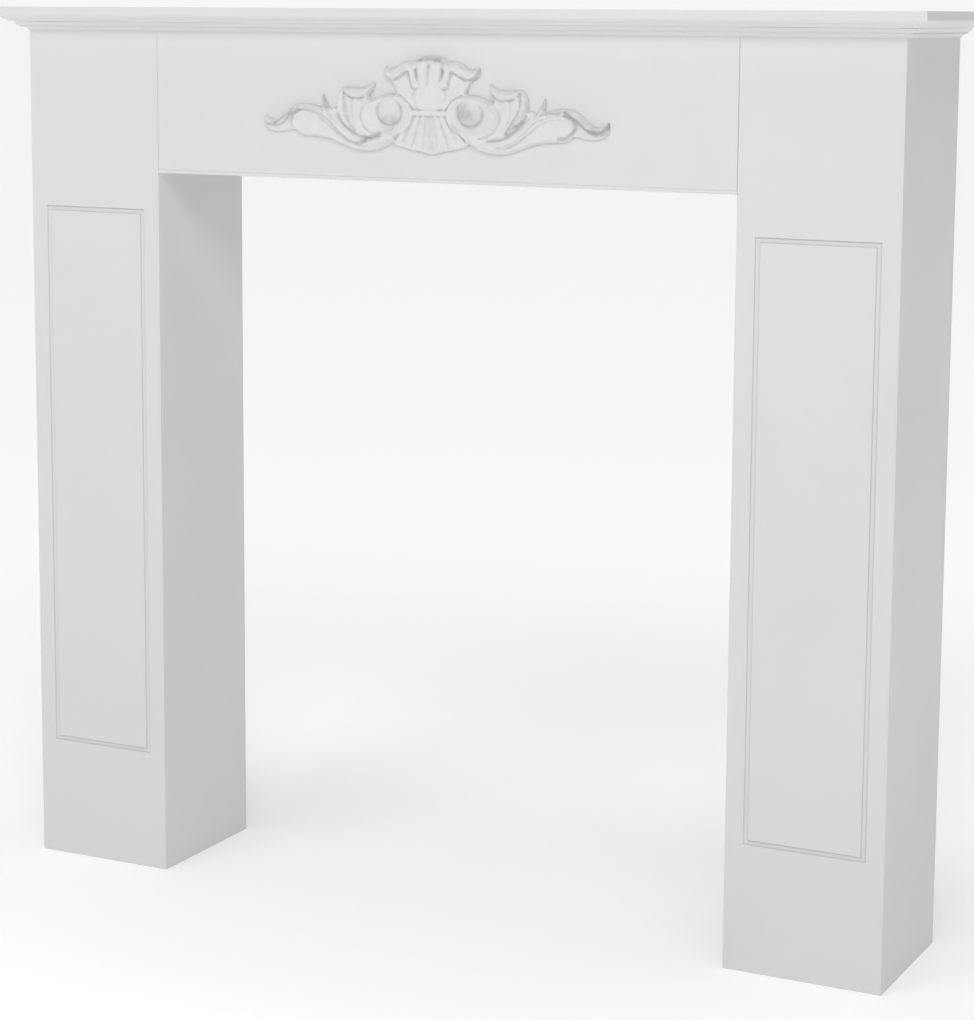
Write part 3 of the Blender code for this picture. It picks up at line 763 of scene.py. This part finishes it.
def carve_side_leaves(relief, x, z):
    """A slim leaf, a broad one with a folded wavy lip, and the scroll's inner lip, on one bed."""
    bed = [(56, 24), (76, 24), (93, 29)]
    relief = carve(relief, x, z, bed, (6, 7.5, 6), (8, 8), 0.1, cut=0)
    slim = [(108.5, 68), (110.5, 59), (107, 46), (98, 34), (85, 25), (72, 18)]
    relief = carve(relief, x, z, slim, (1.2, 3.8, 4.8, 3.8, 1.4), (9, 12, 13, 9), 0.22, 0.12, 1.4, 0.12)
    outer_half = [(98, 60), (98, 51), (94, 40), (85, 30), (70, 21.5), (57, 18)]
    relief = carve(relief, x, z, outer_half, (7, 7, 6, 3.8, 1.4), (10, 12.5, 13.5), 0.25, 0.1, 1.6, 0.12)
    inner_half = [(83.5, 60), (86, 51), (85.5, 41), (79, 30), (66, 22), (55, 19.5)]
    relief = carve(relief, x, z, inner_half, (8, 7.4, 6.4, 4.6, 1.6), (10, 12.5, 13.5), 0.2, 0, 0.4, 0.12)
    lip = [(70, 76.5), (73.8, 71), (79.5, 67.2), (87, 65.8), (94, 66.2), (100, 67.8), (107, 70)]
    relief = carve(relief, x, z, lip, (0.8, 3.2, 4.3, 4.3, 3.4, 1.2), (10, 14, 14, 11), 0.05, -0.3, 1.8)
    inner_lip = [(70, 57), (76, 52), (79.5, 44), (78, 35.5), (71.5, 28), (62, 23.5), (51, 21.5)]
    return carve(relief, x, z, inner_lip, (0.8, 2.6, 3.4, 3, 2), (13, 14.5, 14), 0.05, -0.06, 1.2)


def carve_scroll_eye(relief, x, z):
    """The hollow cup of the scroll and the ball that sits in it, high against the cup's top."""
    across, up = 48.5, 43.0
    half_width, half_height = 27.5, 21.0
    floor, brim, brim_round, brim_width = 6.5, 14.5, 2.2, 0.06
    cup_curve, cup_tilt, lowest_tilt = 2.4, 2.5, -0.4
    reach = np.hypot((x - across) / half_width, (z - up) / half_height)
    outside = np.maximum(reach - 1, 0) * (half_width + half_height) / 2
    rim = brim - brim_round * np.clip((reach - 1) / brim_width, 0, 1) ** 2 - outside * WALL_SLOPE
    tilt = cup_tilt * np.clip((z - up) / half_height, lowest_tilt, 1)
    cup = floor + (brim - floor) * np.minimum(reach, 1) ** cup_curve + tilt
    relief = np.where(reach < 1, np.minimum(cup, brim), np.maximum(relief, rim))
    ball_up, ball_radius, ball_rise, ball_seat, ball_wall = up + 3.8, 14.2, 13.0, 7.0, 20.0
    share = np.hypot(x - across, z - ball_up) / ball_radius
    ball = ball_seat + ball_rise * np.sqrt(np.maximum(1 - share**2, 0))
    ball -= ball_wall * np.maximum(share - 1, 0)
    crisp, soft, soft_start, soft_height = 0.3, 1.5, 2.0, 12.0
    melt = crisp + soft * np.clip((z - up - soft_start) / soft_height, 0, 1)
    joined = melt * np.logaddexp(relief / melt, ball / melt)
    return np.where(reach < 1, joined, relief)


# %% [markdown]
# ### The crown, the collar and the shell
#
# In the middle stands a leaf with a curl at its top, two side lobes and two folds that hang
# between them. A collar ties it to a fluted shell, which ends in a scalloped point.

# %% Strokes of the middle
def carve_crown(relief, x, z):
    """The leaf over the collar: its base, low frill, side lobes, hanging folds, tongues and curl."""
    base = [(0, 63), (0, 70), (0, 82)]
    relief = carve(relief, x, z, base, (20, 17, 15), (12, 11.5), -0.35)
    recess = [(38, 84), (31, 74), (20, 62)]
    relief = carve(relief, x, z, recess, (10.5, 12.5, 11), (7.5, 10), 0.1, cut=0)
    wing = [(44.5, 77), (38, 76), (30, 72.5), (20, 65), (11, 56)]
    relief = carve(relief, x, z, wing, (0.8, 4.5, 6, 7), (7, 9.5, 11), 0.15, 0.1, 0.5, 0.12)
    frill = [(40, 69), (34, 67.5), (26.5, 63), (18.5, 55.5), (13, 49)]
    relief = carve(relief, x, z, frill, (0.8, 2.8, 3.8, 3.6), (8, 10.5, 11.5), 0.15, 0.1, 0.6, 0.12)
    lobe = [(56, 93.5), (53.4, 88.4), (46.5, 86), (39, 89.4), (30, 94.5), (20, 95)]
    widths = (0.7, 4.0, 5.2, 5.0, 5.2, 4.8)
    relief = carve(relief, x, z, lobe, widths, (9, 12.5, 12.5, 12.5), 0.05, 0.26, 1.8)
    fold = [(21.8, 93), (20, 84), (17.2, 75.8)]
    relief = carve(relief, x, z, fold, (3.8, 3.4, 4.4), (12.6, 13, 14.2), -0.05, cut=1.3, soften=0.15)
    tongue = [(8.4, 97), (7.6, 86), (6.6, 74), (7.5, 60)]
    relief = carve(relief, x, z, tongue, (7.6, 6.6, 5.6, 7), (12.6, 13, 12.2, 10.4), -0.15, cut=0.5)
    curl = [(0, 99.8), (8, 99.7), (14, 98.2), (18.4, 92)]
    relief = carve(relief, x, z, curl, (4.5, 4.2, 3.3, 1.4), (15.5, 15.5, 14), 0.1, 0.3, 1.8)
    groove_foot, groove_top, groove_run, groove_depth = 50.0, 95.5, 45.0, 2.2
    widening_from, widening_run = 75.0, 14.0
    groove_width = 1 + np.maximum(z - widening_from, 0) / widening_run
    groove = np.clip((z - groove_foot) / groove_run, 0, 1) * np.exp(-((x / groove_width) ** 2))
    return relief - np.where(z < groove_top, groove_depth * groove, 0)


def carve_fan(relief, x, z):
    """The fluted shell under the collar, with its pointed, scalloped lower edge."""
    focus, top = 74.0, 44.0
    ridges = (0.0, 13.6, 24.0, 34.5)
    flute_depth, scallop = 2.6, 1.4
    height, rise, rise_from, rise_run = 9.5, 2.5, 20.0, 20.0
    crack_depth, crack_turn = 0.6, 1.6
    point_height, edge_slope = 2.2, 0.21
    turn = np.degrees(np.arctan2(x, focus - z))
    shell = height + rise * np.clip((z - rise_from) / rise_run, 0, 1)
    shell -= crack_depth * np.exp(-((turn / crack_turn) ** 2))
    edge = point_height + edge_slope * x
    for near, far in zip(ridges, ridges[1:]):
        middle = near if near == 0 else (near + far) / 2
        share = np.clip(np.abs(turn - middle) / (far - middle), 0, 1)
        hollow = (turn >= near) * (turn < far) * (1 - share**2)
        shell -= flute_depth * hollow
        edge -= scallop * np.sqrt(hollow)
    shell -= WALL_SLOPE * (np.maximum(edge - z, 0) + np.maximum(turn - ridges[-1], 0))
    return np.where(z < top, np.maximum(relief, shell), relief)


def carve_collar(relief, x, z):
    """The band that ties crown and fan together, bowed forward between two knife lines."""
    reach, middle, half_height = 21.5, 45.2, 2.5
    height, bow, round_off = 14.0, 1.5, 1.2
    knife_depth, knife_gap, knife_width = 2.2, 0.9, 0.8
    off = np.abs(z - middle)
    knife_line = np.exp(-(((off - half_height - knife_gap) / knife_width) ** 2))
    knife = knife_depth * knife_line * np.clip(reach + 1 - x, 0, 1)
    band = height - bow * (x / reach) ** 2 - round_off * np.clip(off / half_height, 0, 1) ** 4
    band -= WALL_SLOPE * (np.maximum(off - half_height, 0) + np.maximum(x - reach, 0))
    return np.maximum(relief - knife, band)


# %% [markdown]
# ### The edge of the carving
#
# The carving ends where its walls fall to a certain height, and a carver lets it grow thinner
# towards that outline, so that it seems to rise out of the board. Both need the distance of each
# point from the outline. It is found on the grid itself: every point asks its eight neighbours how
# far they are and adds the step between, and after enough rounds the distances stop changing.
# Slits too narrow for a chisel are closed by a low floor on the way. The lower edges stand off the
# board a little more than the upper ones, which almost melt into it.

# %% Thin the carving towards its outline
GAP_REACH = 2.2
GAP_FLOOR = 6.5
RIM_CUT = 5.0
RIM_REACH = 9.0
RIM_UPPER_EDGE = 0.6
RIM_LOWER_EDGE = 2.8
RIM_TOP = 21.0


def spread_distance(start, cell, reach):
    """How far each point of a grid is from where it starts, up to a reach."""
    distance = np.minimum(start, reach)
    high, wide = distance.shape
    for _ in range(math.ceil(reach / cell)):
        around = np.pad(distance, 1, mode="edge")
        for down, across in itertools.product(range(3), repeat=2):
            neighbour = around[down : down + high, across : across + wide]
            distance = np.minimum(distance, neighbour + cell * math.hypot(down - 1, across - 1))
    return distance


def thin_rim(relief, cell):
    """Closes narrow gaps and lets the carving thin out towards its outline, on a grid of cells."""
    walls = np.maximum((RIM_CUT - relief) / WALL_SLOPE, -cell)
    outside = spread_distance(np.where(relief > SHEET_GROUND, walls, np.inf), cell, 2 * GAP_REACH)
    beyond = np.where(outside > GAP_REACH, np.maximum(GAP_REACH - outside, -cell), np.inf)
    inside = spread_distance(beyond, cell, GAP_REACH + RIM_REACH) - GAP_REACH
    floor = np.where(inside > 0, GAP_FLOOR, SHEET_GROUND)
    faces_down = np.clip(np.gradient(inside, cell, axis=0), 0, 1)
    edge = RIM_UPPER_EDGE + (RIM_LOWER_EDGE - RIM_UPPER_EDGE) * faces_down
    rim = edge + (RIM_TOP - edge) * (1 - (1 - inside / RIM_REACH) ** 2)
    return np.minimum(np.maximum(relief, floor), rim)


# %% [markdown]
# ### From strokes to a mesh
#
# A fine grid of points is raised to the carved height and then cut off where the carving meets the
# board, so only the ornament itself is left. The mould and several coats of paint take the edge
# off the carving, so the heights are eased too.

# %% Work out the carved heights
ORNAMENT_CELL = 0.6
PAINT_EASING = 5


def averaged(grid, rounds):
    """Each value of a grid averaged with its four neighbours, as many rounds as given."""
    for _ in range(rounds):
        grid = np.pad(grid, 1, mode="edge")
        grid = (grid[:-2, 1:-1] + grid[2:, 1:-1] + grid[1:-1, :-2] + grid[1:-1, 2:] + grid[1:-1, 1:-1]) / 5
    return grid


def carved_heights(x, z):
    """Height of the carving at every point of the sheet, both halves alike."""
    relief = np.full(x.shape, SHEET_GROUND)
    strokes = (carve_end_leaf, carve_scroll_arm, carve_side_leaves, carve_scroll_eye)
    strokes += (carve_crown, carve_fan, carve_collar)
    for stroke in strokes:
        relief = stroke(relief, np.abs(x), z)
    return averaged(thin_rim(relief, ORNAMENT_CELL), PAINT_EASING)


half_wide = SHEET_WIDTH / 2 + SHEET_MARGIN
half_high = SHEET_HEIGHT / 2 + SHEET_MARGIN
columns = 2 * round(half_wide / ORNAMENT_CELL)
rows = 2 * round(half_high / ORNAMENT_CELL)
across = np.linspace(-half_wide, half_wide, columns + 1)
along = np.linspace(-half_high, half_high, rows + 1) + SHEET_HEIGHT / 2
sheet_x, sheet_z = np.meshgrid(across, along)
heights = carved_heights(sheet_x, sheet_z)
print("carved grid", heights.shape, "highest", round(heights.max(), 1))

# %% [markdown]
# ### Where the glaze and the painted shade go
#
# The ornament was painted white like the boards, but duller, and then rubbed with a thin grey and
# reddish glaze that was wiped off again. The marks here carry that glaze and painted shade together.
# Every crease gets both, glaze that a cloth can't reach and painted shade, so a point that lies lower
# than its surroundings is marked as a crease. A few places were also rubbed more than others, by
# hand. Those are drawn as soft strokes along the leaves, each with its half width and its strength,
# and the same strokes lay painted shade under the curl, at the balls, on one side of each flute and
# along lower edges, so left and right are not the same. The thin dark lines are painted shadow
# under the scroll's arm, darker on the left arm, and along the collar.

# %% Mark the creases and the rubbed places
CREASE_DEPTH = 1.3
CREASE_FLOOR = 4.5
CLEAN_EDGE = 5.0
FINE_ROUNDS = 12
BROAD_ROUNDS = 60
BROAD_SHARE = 0.35
ARM_UNDERCUT = [(166, 46.5), (153, 46), (140.7, 43.6), (130.8, 40.2), (123.4, 36.2), (113.5, 27.4)]
TAIL_UNDERCUT = [(113.5, 27.4), (103.6, 19.2), (91, 12.5), (81, 10.4)]


def mirrored(path):
    """The same path on the ornament's left half."""
    return [(-x, z) for x, z in path]


# Each stroke list below is tinted glaze together with painted shade: under the curl, at the balls, on one
# side of each flute and along lower edges.
DARK_RUBS_AND_SHADE = (
    (2.2, 0.42, [(133.3, 62), (131, 53), (124.5, 43.5)]),
    (1.8, 0.75, [(159, 49.5), (168.9, 43.8), (176.3, 38.9), (182.5, 32.7), (189, 29)]),
    (2.6, 0.9, [(186, 30.5), (196, 29), (202.3, 30.8), (206, 34.6), (207.5, 39)]),
    (1.2, 0.5, [(189, 26), (197, 25.6), (203.5, 27.7)]),
    (4.0, 0.65, [(-60, 21.5), (-68, 18.5), (-77, 15.5)]),
    (2.4, 0.6, [(-77, 14), (-86, 12)]),
    (2.4, 0.6, [(-208, 38), (-205, 32), (-198, 29.4), (-190, 30.8)]),
    (2.0, 0.5, [(-190, 30.8), (-182.8, 35.8), (-174, 40.7), (-168, 46)]),
    (2.4, 0.6, [(-14, 100.5), (-9, 101.5)]),
    (2.4, 0.6, [(7.5, 101.5), (13, 100.5)]),
    (1.7, 0.6, [(91, 25), (99, 31), (110, 38)]),
)
# Painted shadow: thin dark lines under the scroll's arm, stronger on the left arm, and along the collar's
# knife lines.
PAINTED_SHADOW_LINES = (
    (1.3, 0.95, mirrored(ARM_UNDERCUT)),
    (1.3, 0.95, mirrored(TAIL_UNDERCUT)),
    (1.1, 0.6, ARM_UNDERCUT),
    (0.7, 0.6, [(-21, 41.7), (21, 41.7)]),
    (0.7, 0.5, [(-21, 48.7), (21, 48.7)]),
    (1.1, 0.6, TAIL_UNDERCUT),
)
GREY_RUBS_AND_SHADE = (
    (2.0, 0.5, [(-153, 47.5), (-140.7, 45.6), (-130.8, 42)]),
    (3.0, 0.5, [(-12, 101.5), (12, 101.5)]),
    (2.4, 0.6, [(-132.5, 62), (-130.5, 54), (-127, 48)]),
    (2.0, 0.7, [(135, 46.5), (144, 47.5), (154, 48)]),
    (2.2, 0.8, [(170, 41), (171.4, 34.6), (167.7, 28.4), (160.2, 22.8), (151.6, 21.6)]),
    (1.8, 0.8, [(107, 67.4), (106.4, 53), (102, 43.2), (97, 34.6), (91, 26)]),
    (11.0, 0.75, [(43, 47), (48, 44)]),
    (1.4, 0.5, [(-11.9, 39), (-22.4, 8)]),
    (1.4, 0.5, [(11.9, 39), (22.4, 8)]),
    (1.4, 0.45, [(-19.5, 39), (-33, 14)]),
    (1.4, 0.45, [(19.5, 39), (33, 14)]),
    (1.6, 0.35, [(-4.5, 38), (-8.5, 8)]),
    (1.6, 0.3, [(5, 38), (9.5, 8)]),
    (3.6, 0.45, [(28, 33), (35, 25)]),
    (2.6, 0.45, [(-45, 28), (-60, 22)]),
    (2.2, 0.35, [(70, 75), (72, 69), (80, 63), (92, 61.8)]),
    (1.5, 0.6, [(57.5, 92), (54.5, 84), (48, 81), (40, 84)]),
    (1.5, 0.4, [(-57.5, 90), (-54.5, 83), (-48, 80.5)]),
)
MAUVE_RUBS_AND_SHADE = (
    (3.0, 0.5, [(-9, 102.5), (9, 102.5)]),
    (2.2, 0.5, [(-1, 96), (-1, 76)]),
    (2.6, 0.6, [(-102.4, 64), (-103, 53), (-99.9, 40.7), (-95, 30.8), (-90, 25)]),
    (2.4, 0.4, [(-128, 50), (-124, 43), (-118, 37)]),
    (4.2, 0.35, [(107, 62), (112, 48), (103, 33)]),
    (5.0, 0.4, [(-171, 42), (-172, 34)]),
    (10.0, 0.3, [(0, 36), (0, 10)]),
    (12.0, 0.2, [(-49, 46), (-46, 46)]),
    (6.0, 0.5, [(-53, 37.5), (-43, 37.5)]),
    (3.2, 0.4, [(71, 53), (80, 45), (78, 34), (71, 26)]),
    (2.4, 0.5, [(16, 98), (17, 92)]),
    (3.4, 0.4, [(-30, 88), (-24, 80), (-19, 74)]),
    (3.0, 0.35, [(176, 45), (186, 36.5), (196, 35)]),
)


def rub_and_shade_share(rubs_and_shade):
    """How much of a stroke of glaze and painted shade reaches each point of the sheet, from 0 to 1."""
    left_over = np.ones_like(sheet_x)
    for half_width, strength, path in rubs_and_shade:
        nearest = np.full(sheet_x.shape, np.inf)
        line = smooth_path(path)
        for (x0, z0), (dx, dz) in zip(line, np.diff(line, axis=0)):
            t = np.clip(((sheet_x - x0) * dx + (sheet_z - z0) * dz) / (dx * dx + dz * dz), 0, 1)
            nearest = np.minimum(nearest, np.hypot(sheet_x - x0 - t * dx, sheet_z - z0 - t * dz))
        left_over *= 1 - strength * np.exp(-((nearest / half_width) ** 2))
    return 1 - left_over


def creases():
    """How deep each point lies under its near surroundings, from 0 to 1, apart from the outline."""
    solid = np.maximum(heights, CREASE_FLOOR)
    fine = averaged(solid, FINE_ROUNDS) - solid
    broad = averaged(solid, BROAD_ROUNDS) - solid
    inside = spread_distance(np.where(heights > 0, np.inf, 0.0), ORNAMENT_CELL, CLEAN_EDGE)
    sheltered = np.clip(2 * inside / CLEAN_EDGE - 1, 0, 1)
    depth = (fine + BROAD_SHARE * broad) / CREASE_DEPTH
    return averaged(np.clip(depth, 0, 1) * sheltered, 1)


# The crease mark is glaze and painted shade in every crease, together with the painted shadow lines.
marks = {
    "crease_glaze_and_shade": np.maximum(creases(), rub_and_shade_share(PAINTED_SHADOW_LINES)),
    "dark_rub_and_shade": rub_and_shade_share(DARK_RUBS_AND_SHADE),
    "grey_rub_and_shade": rub_and_shade_share(GREY_RUBS_AND_SHADE),
    "mauve_rub_and_shade": rub_and_shade_share(MAUVE_RUBS_AND_SHADE),
}
for name, mark in marks.items():
    print(name, "covers", f"{(mark > HALF).mean():.3f}")

# %% [markdown]
# ### Raising the sheet
#
# The heights are over the board's face, so the ornament is placed by the frieze board: flat against
# its front, a little over its lower edge. The marks go along as values on the points.

# %% Raise the ornament
MILLIMETRE = 0.001
ORNAMENT_RELIEF = 14.5
ORNAMENT_LIFT = 29.5
CUT_SNAP = 1e-7


def carved_ornament(material):
    """The ornament, raised from a grid and cut off flat at its back."""
    bm = bmesh.new()
    bmesh.ops.create_grid(bm, x_segments=columns, y_segments=rows, size=1.0)
    layers = {name: bm.verts.layers.float.new(name) for name in marks}
    values = {name: mark.ravel() for name, mark in marks.items()}
    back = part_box("carved_ornament")[1].y
    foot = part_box("frieze_board")[0].z + ORNAMENT_LIFT * MILLIMETRE
    depth = ORNAMENT_RELIEF / SHEET_RELIEF * MILLIMETRE
    places = zip(bm.verts, sheet_x.ravel(), sheet_z.ravel(), heights.ravel())
    for index, (vertex, x, z, height) in enumerate(places):
        vertex.co = (x * MILLIMETRE, back - height * depth, foot + z * MILLIMETRE)
        for name, layer in layers.items():
            vertex[layer] = values[name][index]
    geometry = bm.verts[:] + bm.edges[:] + bm.faces[:]
    cut = {"plane_co": (0, back, 0), "plane_no": (0, 1, 0), "clear_outer": True, "dist": CUT_SNAP}
    bmesh.ops.bisect_plane(bm, geom=geometry, **cut)
    rim = [edge for edge in bm.edges if edge.is_boundary]
    bmesh.ops.triangle_fill(bm, edges=rim, use_beauty=True)
    bmesh.ops.recalc_face_normals(bm, faces=bm.faces)
    return finished("carved_ornament", bm, material, math.radians(180))


# %% [markdown]
# ## Paint on the ornament
#
# The coat is white with faint warmer clouds. Over it lie thin glazes mixed with painted shade: a grey
# that is glaze and painted shade in every crease, and an olive grey, a mauve and a dark reddish brown
# that are glaze and painted shade where they were laid on. The marks say how much of each could stay,
# and noise on two scales breaks them up the way a cloth does, so no edge of a glaze is clean.

# %% Mix the rubbed paint
ORNAMENT_WHITE = (0.755, 0.754, 0.751, 1.0)
ORNAMENT_SHADE = (0.730, 0.727, 0.722, 1.0)
CREASE_GLAZE_AND_SHADE = (0.425, 0.415, 0.410, 1.0)
OLIVE_GLAZE_AND_SHADE = (0.500, 0.495, 0.480, 1.0)
MAUVE_GLAZE_AND_SHADE = (0.530, 0.500, 0.507, 1.0)
DARK_GLAZE_AND_SHADE = (0.430, 0.390, 0.390, 1.0)
CREASE_GLAZE_AND_SHADE_SHARE = 0.58
WIPING_SIZE = 0.009
STREAK_SIZE = 0.0032
STREAK_SHIFT = (0.3, 0.1, 0.7)
WIPING_SHARE, STREAK_SHARE = 1.1, 1.0
GRAIN_SIZE = 0.0009
GRAIN_DEPTH = 0.00008
WIPED_ROUGHNESS = 0.58
CREASE_ROUGHER = 0.15


def rubbed_paint():
    """Dull white paint with wiped glazes and painted shade in its creases and rubbed places."""
    finish = Finish("rubbed_white_ornament")
    wiping = finish.noise(WIPING_SIZE, detail=4.0)
    streaks = finish.noise(STREAK_SIZE, detail=3.0, shift=STREAK_SHIFT)
    grain = finish.noise(GRAIN_SIZE, detail=2.0)
    uneven = 1 + (wiping - 0.5) * WIPING_SHARE + (streaks - 0.5) * STREAK_SHARE
    colour = finish.blend(finish.ramp(wiping, 0.35, 0.7), ORNAMENT_WHITE, ORNAMENT_SHADE)
    crease_glaze_and_shade = finish.ramp(finish.marked("crease_glaze_and_shade") * uneven, 0.05, 1.0)
    # Glaze and painted shade: the creases turn grey.
    colour = finish.blend(crease_glaze_and_shade * CREASE_GLAZE_AND_SHADE_SHARE, colour, CREASE_GLAZE_AND_SHADE)
    # Glaze and painted shade: the rubbed places turn olive grey, mauve and dark reddish brown.
    glazes_and_shade = {"grey_rub_and_shade": OLIVE_GLAZE_AND_SHADE, "mauve_rub_and_shade": MAUVE_GLAZE_AND_SHADE, "dark_rub_and_shade": DARK_GLAZE_AND_SHADE}
    for mark, glaze in glazes_and_shade.items():
        kept = finish.ramp(finish.marked(mark) * uneven, 0.0, 1.0)
        colour = finish.blend(kept, colour, glaze)
    skin = finish.bump(grain, GRAIN_DEPTH, 0.5)
    dullness = WIPED_ROUGHNESS + crease_glaze_and_shade * CREASE_ROUGHER
    return finish.set(Base_Color=colour, Roughness=dullness, Normal=skin)


ornament = carved_ornament(rubbed_paint())
print("ornament width", round(ornament.dimensions.x, 4), "height", round(ornament.dimensions.z, 4))

# %% [markdown]
# ## The floor and the light
#
# A white piece in front of white needs light that is almost even, and small differences do all the
# drawing: the shelf's top is brightest, the fronts come next and fall off a little towards the
# floor, and the sides are a clear step darker. So most of the light comes from the whole room.
#
# The lamps only reach the floor near the surround. To stay as pale far away, the floor glows a
# little, and the more the farther from the middle it is.

# %% Make the floor
FLOOR_SIZE = 400.0
FLOOR_PALE = (0.90, 0.90, 0.90, 1.0)
FLOOR_ROUGHNESS = 0.9
GLOW_NEAR = (0.18, 0.18, 0.18, 1.0)
GLOW_FAR = (0.30, 0.30, 0.30, 1.0)
GLOW_START = 0.2
GLOW_END = 2.2
WHITE = (1.0, 1.0, 1.0, 1.0)


def studio_floor():
    """A wide pale floor under the surround."""
    finish = Finish("studio_floor")
    measure = {"operation": "LENGTH"}
    distance = finish.node("ShaderNodeVectorMath", measure, {"Vector": finish.place}, "Value")
    glow = finish.blend(finish.ramp(distance, GLOW_START, GLOW_END), GLOW_NEAR, GLOW_FAR)
    finish.set(Base_Color=FLOOR_PALE, Roughness=FLOOR_ROUGHNESS)
    finish.set(Emission_Color=glow, Emission_Strength=1.0)
    bm = bmesh.new()
    bmesh.ops.create_grid(bm, x_segments=1, y_segments=1, size=FLOOR_SIZE)
    mesh = bpy.data.meshes.new("studio_floor")
    bm.to_mesh(mesh)
    bm.free()
    mesh.materials.append(finish.material)
    floor = bpy.data.objects.new("studio_floor", mesh)
    bpy.context.scene.collection.objects.link(floor)
    floor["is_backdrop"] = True
    return floor


studio_floor()

# %% [markdown]
# ### Lamps
#
# A soft key lamp hangs high in front, towards the surround's right, so every carved form has a lit
# upper right side and a darker lower edge. A wider and weaker one on the left keeps the shadows
# open. A bright wall on the right adds a little, and the ceiling lights the shelf and the floor.
# The lamps themselves are hidden from the camera.

# %% Set up the light
ROOM_BRIGHTNESS = 0.27
BACKDROP_WHITE = 0.93


def face_target(lamp, place, target):
    """Puts a lamp in its place and turns it to its target."""
    lamp.location = place
    lamp.rotation_euler = (Vector(target) - Vector(place)).to_track_quat("-Z", "Y").to_euler()
    lamp.visible_camera = False
    bpy.context.scene.collection.objects.link(lamp)


def soft_lamp(name, place, target, size, power):
    """A large square lamp that faces a target."""
    data = bpy.data.lights.new(name, "AREA")
    data.shape = "SQUARE"
    data.size = size
    data.energy = power
    face_target(bpy.data.objects.new(name, data), place, target)


def wide_lamp(name, azimuth, height, softness, strength):
    """Light from one direction, as from a bright wall or ceiling. All its angles are in degrees."""
    data = bpy.data.lights.new(name, "SUN")
    data.angle = math.radians(softness)
    data.energy = strength
    turn, rise = math.radians(azimuth), math.radians(height)
    place = (math.sin(turn) * math.cos(rise), -math.cos(turn) * math.cos(rise), math.sin(rise))
    face_target(bpy.data.objects.new(name, data), place, (0, 0, 0))


def white_room():
    """Even light from all sides, in front of a white backdrop."""
    world = bpy.data.worlds.new("white_room")
    world.use_nodes = True
    tree = world.node_tree
    light = tree.nodes["Background"]
    light.inputs["Color"].default_value = WHITE
    light.inputs["Strength"].default_value = ROOM_BRIGHTNESS
    backdrop = tree.nodes.new("ShaderNodeBackground")
    backdrop.inputs["Color"].default_value = WHITE
    backdrop.inputs["Strength"].default_value = BACKDROP_WHITE
    ray = tree.nodes.new("ShaderNodeLightPath")
    choice = tree.nodes.new("ShaderNodeMixShader")
    tree.links.new(ray.outputs["Is Camera Ray"], choice.inputs[0])
    tree.links.new(light.outputs[0], choice.inputs[1])
    tree.links.new(backdrop.outputs[0], choice.inputs[2])
    tree.links.new(choice.outputs[0], tree.nodes["World Output"].inputs["Surface"])
    bpy.context.scene.world = world


white_room()
soft_lamp("key lamp", (0.95, -2.2, 2.5), target=(0.0, 0.0, 0.6), size=0.9, power=16.6)
soft_lamp("fill lamp", (-1.1, -2.4, 2.3), target=(0.0, 0.0, 0.5), size=1.5, power=13.6)
wide_lamp("right wall", azimuth=40, height=28, softness=25, strength=0.25)
wide_lamp("ceiling", azimuth=0, height=90, softness=50, strength=1.2)
bpy.context.scene.view_settings.view_transform = "Standard"

# %% [markdown]
# ## Measure and finish
#
# The painted pieces are meant to be as large as the measured ones, so both boxes are kept side by side and
# printed.

# %% Keep and print the sizes
painted_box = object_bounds()
sizes = {
    "cad": [list(corner) for corner in measured_box],
    "visual": [list(corner) for corner in painted_box],
}
print("measured", sizes["cad"])
print("painted", sizes["visual"])
